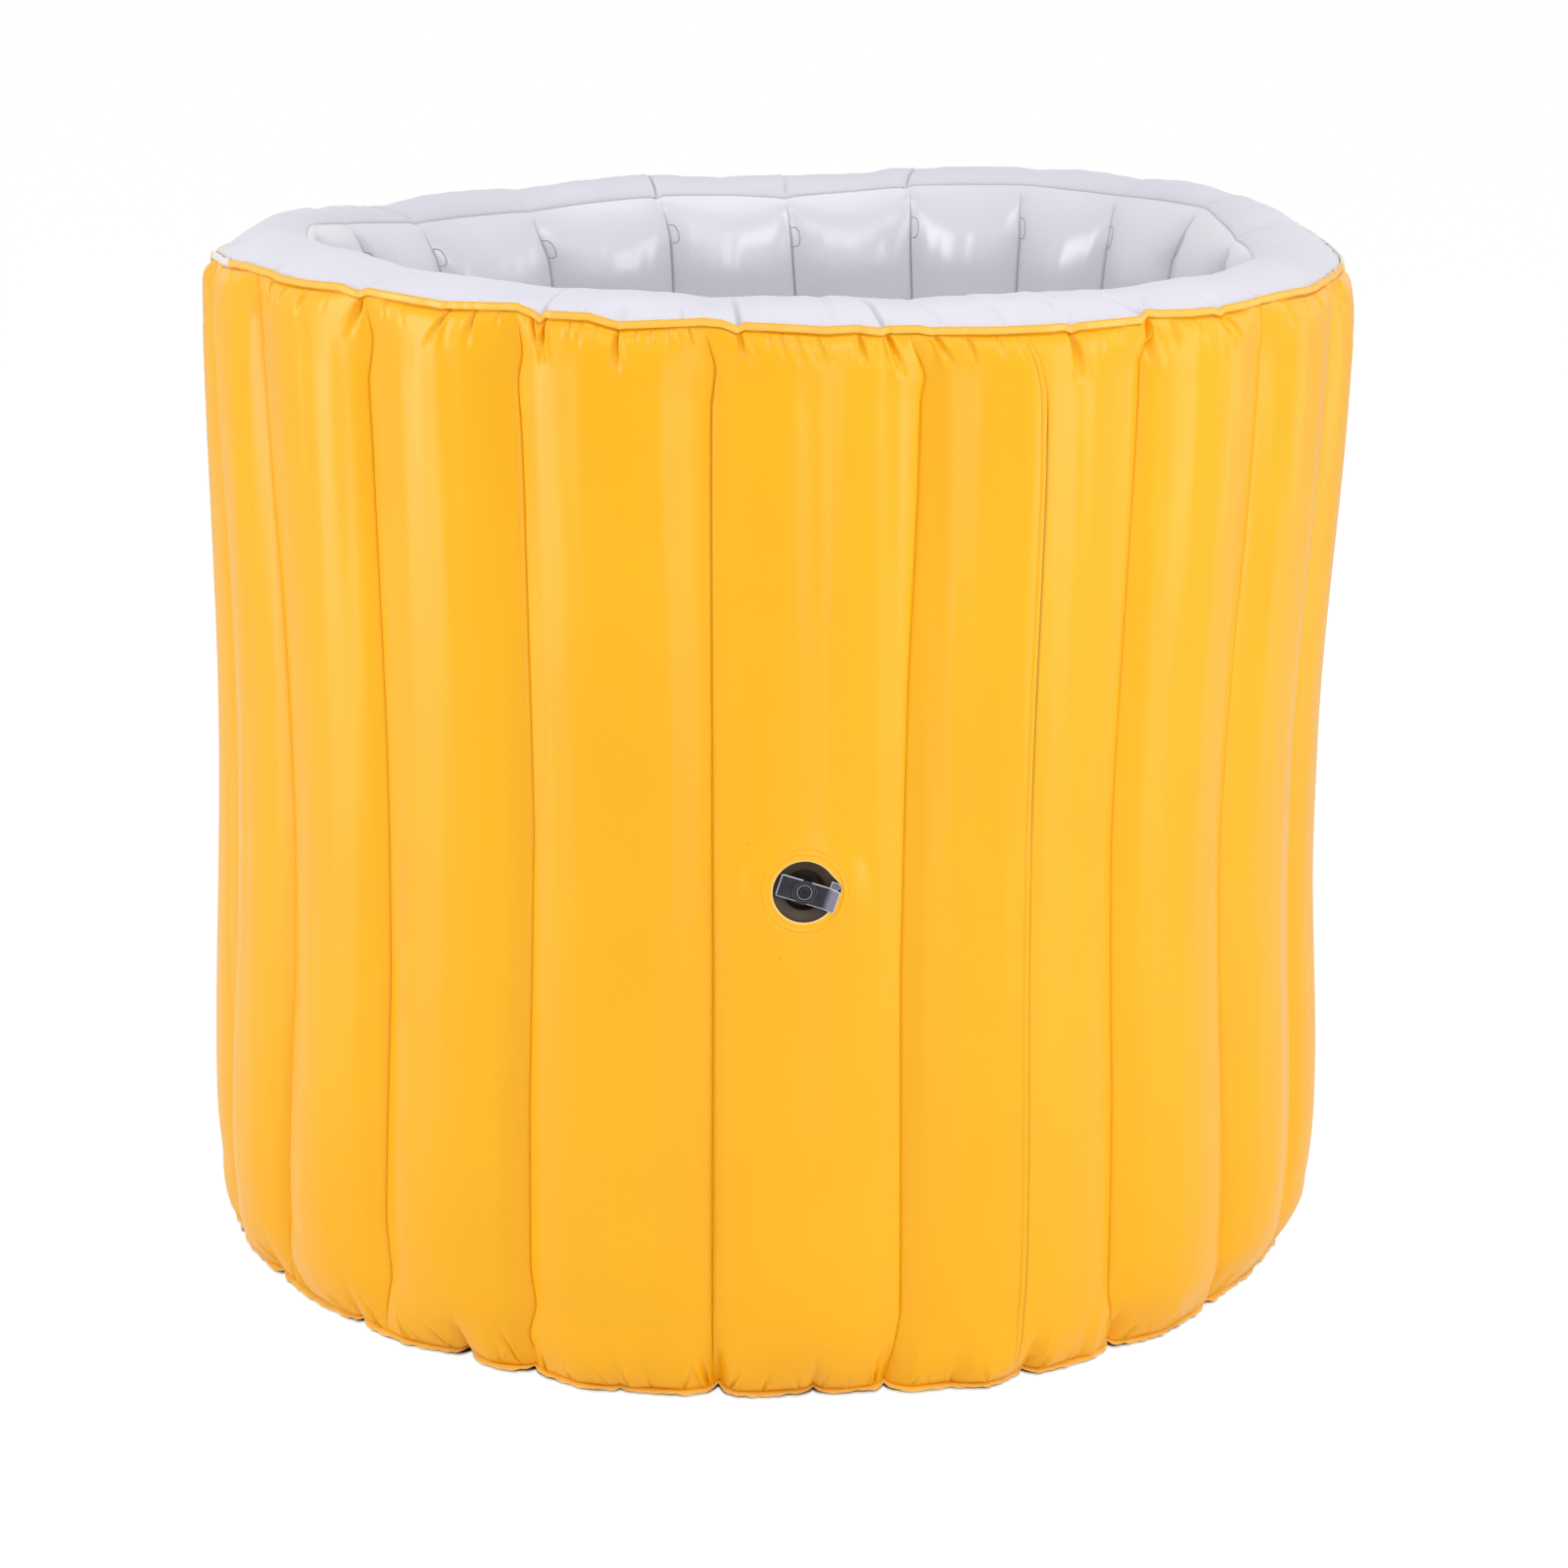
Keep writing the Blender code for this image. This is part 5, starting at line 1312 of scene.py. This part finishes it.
def lug_mesh(axis):
    """The clear stop lug: a round-ended tongue from the mouth of the cup, beside the wing."""
    shape = bmesh.new()
    pale_edge_and_highlight_layer = shape.verts.layers.float.new("edge")
    tip_reflection_layer = shape.verts.layers.float.new("tip")
    start, end, low, high = 0.0150, 0.0214, 0.0078, 0.0124
    radius = (high - low) / 2
    outline = [(start, low), (end - radius, low)]
    for step in range(1, 12):
        turn = -math.pi / 2 + math.pi * step / 12
        outline.append((end - radius + radius * math.cos(turn), (low + high) / 2 + radius * math.sin(turn)))
    outline += [(end - radius, high), (start, high)]
    centre = ((start + end) / 2, (low + high) / 2)
    # Painted highlight on the lug's rim, and part of the tip's painted reflection.
    levels = [(0.88, 0.0013, 0.1), (0.96, 0.00145, 0.9), (1.0, 0.0013, 1.0), (1.0, 0.0004, 0.8), (0.96, 0.0003, 0.6)]
    rings = []
    for share, height, pale in levels:
        ring = []
        for x, y in outline:
            vert = shape.verts.new((centre[0] + (x - centre[0]) * share, centre[1] + (y - centre[1]) * share,
                                    height))
            vert[pale_edge_and_highlight_layer] = pale
            vert[tip_reflection_layer] = 0.35
            ring.append(vert)
        rings.append(ring)
    stitch(shape, rings)
    shape.faces.new(rings[0])
    shape.faces.new(rings[-1])
    bmesh.ops.recalc_face_normals(shape, faces=shape.faces)
    shape.transform(axis @ Matrix.Rotation(WING_TILT, 4, "Z"))
    return settle(shape, bpy.data.meshes.new("stop_lug"), 38)


def make_valve(finishes):
    axis = valve_matrix()
    funnel = [(0.0208, -0.0009), (0.0208, -0.0088), (0.0250, -0.0088), (0.0250, -0.0108), (0.0158, -0.0108),
           (0.0158, -0.0180), (0.0053, -0.0180), (0.0053, -0.0090), (0.0067, -0.0090), (0.0067, -0.0160),
           (0.0138, -0.0160), (0.0138, -0.0062), (0.01385, -0.0057), (0.0142, -0.0054), (0.0150, -0.0051),
           (0.0195, -0.0030), (0.0200, -0.0026), (0.0202, -0.0012), (0.0205, -0.0008)]
    cup = add_piece("valve_cup", turned_mesh("valve_cup", funnel, 96, axis), finishes["smoke"])
    wing = add_piece("wing_key", wing_mesh(axis), finishes["clear"])
    lug = add_piece("stop_lug", lug_mesh(axis), finishes["clear"])
    stem = [(0, 0.0005), (0.0004, 0.0004), (0.0007, 0.0001), (0.0009, -0.0004), (0.0013, -0.0004),
            (0.0016, 0.0002), (0.0030, 0.0003), (0.0035, 0.0001), (0.0037, -0.0003), (0.0037, -0.0022),
            (0.0020, -0.0022), (0.0020, -0.0216),
            (0.0034, -0.0216), (0.0034, -0.0226), (0, -0.0226)]
    push = add_piece("push_stem", turned_mesh("push_stem", stem, 64, axis, sharp=40), finishes["dark"])
    claim(cup, "tub", "valve_body")
    claim(wing, "valve_key", "valve_wing")
    claim(lug, "tub", "valve_lug")
    claim(push, "valve_push", "valve_stem")


def make_drain(finishes):
    place = Matrix.Translation(DRAIN_PLACE)
    fitting = [(0.0300, 0.0023), (0.0300, 0.0040), (0.0294, 0.0046), (0.0282, 0.0048), (0.0260, 0.0048),
               (0.0256, 0.0044), (0.0250, 0.0044), (0.0246, 0.0048), (0.0180, 0.0048), (0.0175, 0.0044),
               (0.0175, 0.0005), (0.0195, 0.0005), (0.0195, 0.0023)]
    plug = [(0, 0.0006), (0.0166, 0.0006), (0.0172, 0.0050), (0.0220, 0.0051), (0.0225, 0.0056), (0.0225, 0.0068),
            (0.0220, 0.0075), (0.0212, 0.0076), (0.0200, 0.0072), (0.0110, 0.0070), (0.0090, 0.0074),
            (0.0080, 0.0076), (0, 0.0076)]
    flange = add_piece("drain_flange", turned_mesh("drain_flange", fitting, 96, place), finishes["soft"])
    stopper_mesh = turned_mesh("drain_stopper", plug, 96, place)
    shape = opened(stopper_mesh)
    rings = []
    for step in range(48):
        turn = math.tau * step / 48
        centre = Vector((0.0060 * math.cos(turn), 0, 0.0060 * math.sin(turn)))
        out = centre.normalized()
        ring = []
        for corner in range(12):
            spin = math.tau * corner / 12
            offset = out * (0.0013 * math.cos(spin)) + Vector((0, 0.0019 * math.sin(spin), 0))
            ring.append(shape.verts.new(DRAIN_PLACE + centre + offset + Vector((0, 0, 0.0086))))
        rings.append(ring)
    stitch(shape, rings, closed=True)
    bmesh.ops.recalc_face_normals(shape, faces=shape.faces)
    stopper = add_piece("drain_stopper", settle(shape, stopper_mesh, 35), finishes["rubber"])
    claim(flange, "tub", "drain_fitting")
    claim(stopper, "plug", "drain_plug")


def dress_nodes(finishes):
    """Finishes for the solids that stay as they are, all of them inside the wall or the valve."""
    kept = {"valve_flange": "soft", "valve_spring": "steel", "valve_seal": "rubber", "valve_washer": "smoke"}
    for name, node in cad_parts.items():
        finish = "web" if name.startswith("baffle") else kept.get(name)
        if finish and node.material_slots:
            for slot in node.material_slots:
                slot.material = finishes[finish]
        elif finish:
            node.data.materials.append(finishes[finish])
    spring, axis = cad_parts["valve_spring"], valve_matrix()
    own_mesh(spring)


def make_camera():
    forward = Vector((math.sin(YAW) * math.cos(PITCH), math.cos(YAW) * math.cos(PITCH), -math.sin(PITCH)))
    right = forward.cross(Vector((0, 0, 1))).normalized()
    up = right.cross(forward)
    across = math.cos(ROLL) * right + math.sin(ROLL) * up
    above = -math.sin(ROLL) * right + math.cos(ROLL) * up
    turned = Matrix((across, above, -forward)).transposed().to_4x4()
    data = bpy.data.cameras.new("camera")
    data.sensor_width = SENSOR
    data.lens = SENSOR * FOCAL_SHARE
    camera = bpy.data.objects.new("camera", data)
    bpy.context.scene.collection.objects.link(camera)
    camera.matrix_world = Matrix.Translation(EYE) @ turned
    bpy.context.scene.camera = camera


def add_lamp(name, place, target, size, power):
    data = bpy.data.lights.new(name, "AREA")
    data.shape = "RECTANGLE"
    data.size, data.size_y = size
    data.energy = power
    lamp = bpy.data.objects.new(name, data)
    bpy.context.scene.collection.objects.link(lamp)
    lamp.location = place
    aim = Vector(target) - Vector(place)
    lamp.rotation_euler = aim.to_track_quat("-Z", "Y").to_euler()


def shader_maths(tree, operation, first, second):
    node = tree.nodes.new("ShaderNodeMath")
    node.operation = operation
    for socket, value in zip(node.inputs, (first, second)):
        if isinstance(value, (int, float)):
            socket.default_value = value
        else:
            tree.links.new(value, socket)
    return node.outputs[0]


def shader_mix(tree, share, first, second, end):
    mix = tree.nodes.new("ShaderNodeMixShader")
    for socket, value in zip(mix.inputs, (share, first, second)):
        tree.links.new(value, socket)
    tree.links.new(mix.outputs[0], tree.nodes.new(end).inputs["Surface"])


def make_world():
    world = bpy.data.worlds.new("studio")
    bpy.context.scene.world = world
    world.use_nodes = True
    tree = world.node_tree
    tree.nodes.clear()
    rays = tree.nodes.new("ShaderNodeLightPath").outputs
    direct = shader_maths(tree, "MAXIMUM", rays["Is Camera Ray"], rays["Is Transmission Ray"])
    seen = shader_maths(tree, "MAXIMUM", direct, rays["Is Glossy Ray"])
    glows = []
    for colour, strength in (((0.97, 0.98, 1.0, 1), 0.45), ((1, 1, 1, 1), 1.0)):
        glow = tree.nodes.new("ShaderNodeBackground")
        glow.inputs["Color"].default_value = colour
        glow.inputs["Strength"].default_value = strength
        glows.append(glow.outputs[0])
    shader_mix(tree, seen, *glows, "ShaderNodeOutputWorld")


def make_floor():
    shape = bmesh.new()
    reach = 30.0
    corners = [shape.verts.new((x * reach, y * reach, -0.0004)) for x, y in ((-1, -1), (1, -1), (1, 1), (-1, 1))]
    shape.faces.new(corners)
    mesh = bpy.data.meshes.new("studio_floor")
    shape.to_mesh(mesh)
    shape.free()
    material = bpy.data.materials.new("studio_floor")
    material.use_nodes = True
    tree = material.node_tree
    tree.nodes.clear()
    rays = tree.nodes.new("ShaderNodeLightPath").outputs
    mirrored = shader_maths(tree, "MULTIPLY", rays["Is Glossy Ray"], 0.35)
    seen = shader_maths(tree, "MAXIMUM", rays["Is Camera Ray"], mirrored)
    share = shader_maths(tree, "MULTIPLY", seen, 0.86)
    diffuse = tree.nodes.new("ShaderNodeBsdfDiffuse")
    diffuse.inputs["Color"].default_value = (0.86, 0.86, 0.87, 1)
    glow = tree.nodes.new("ShaderNodeEmission")
    glow.inputs["Strength"].default_value = 1.10
    shader_mix(tree, share, diffuse.outputs[0], glow.outputs[0], "ShaderNodeOutputMaterial")
    add_piece("studio_floor", mesh, material)


def make_lights():
    add_lamp("left_bank", (-1.90, -0.72, 0.86), (0, 0, 0.5), (0.55, 1.65), 14.5)
    add_lamp("right_bank", (1.65, -1.05, 0.86), (0, 0, 0.5), (0.50, 1.65), 9.5)
    add_lamp("right_side", (2.2, 0.4, 0.9), (0, 0, 0.5), (0.4, 1.7), 4)
    add_lamp("front_strip", (0.30, -1.62, 0.86), (0, 0, 0.5), (0.18, 1.65), 4)
    add_lamp("upper_left", (-1.2, -2.2, 2.3), (0, 0, 0.6), (0.7, 0.9), 6.5)
    add_lamp("upper_right", (1.0, -2.2, 2.4), (0, 0, 0.6), (0.9, 0.9), 10)
    add_lamp("overhead", (0, 0, 3.0), (0, 0.01, 0), (2.0, 2.0), 17)


def main():
    finishes = make_finishes()
    dress_nodes(finishes)
    make_camera()
    make_skins(finishes)
    make_valve(finishes)
    make_drain(finishes)
    make_world()
    make_floor()
    make_lights()
    view = bpy.context.scene.view_settings
    view.view_transform = "Standard"


main()
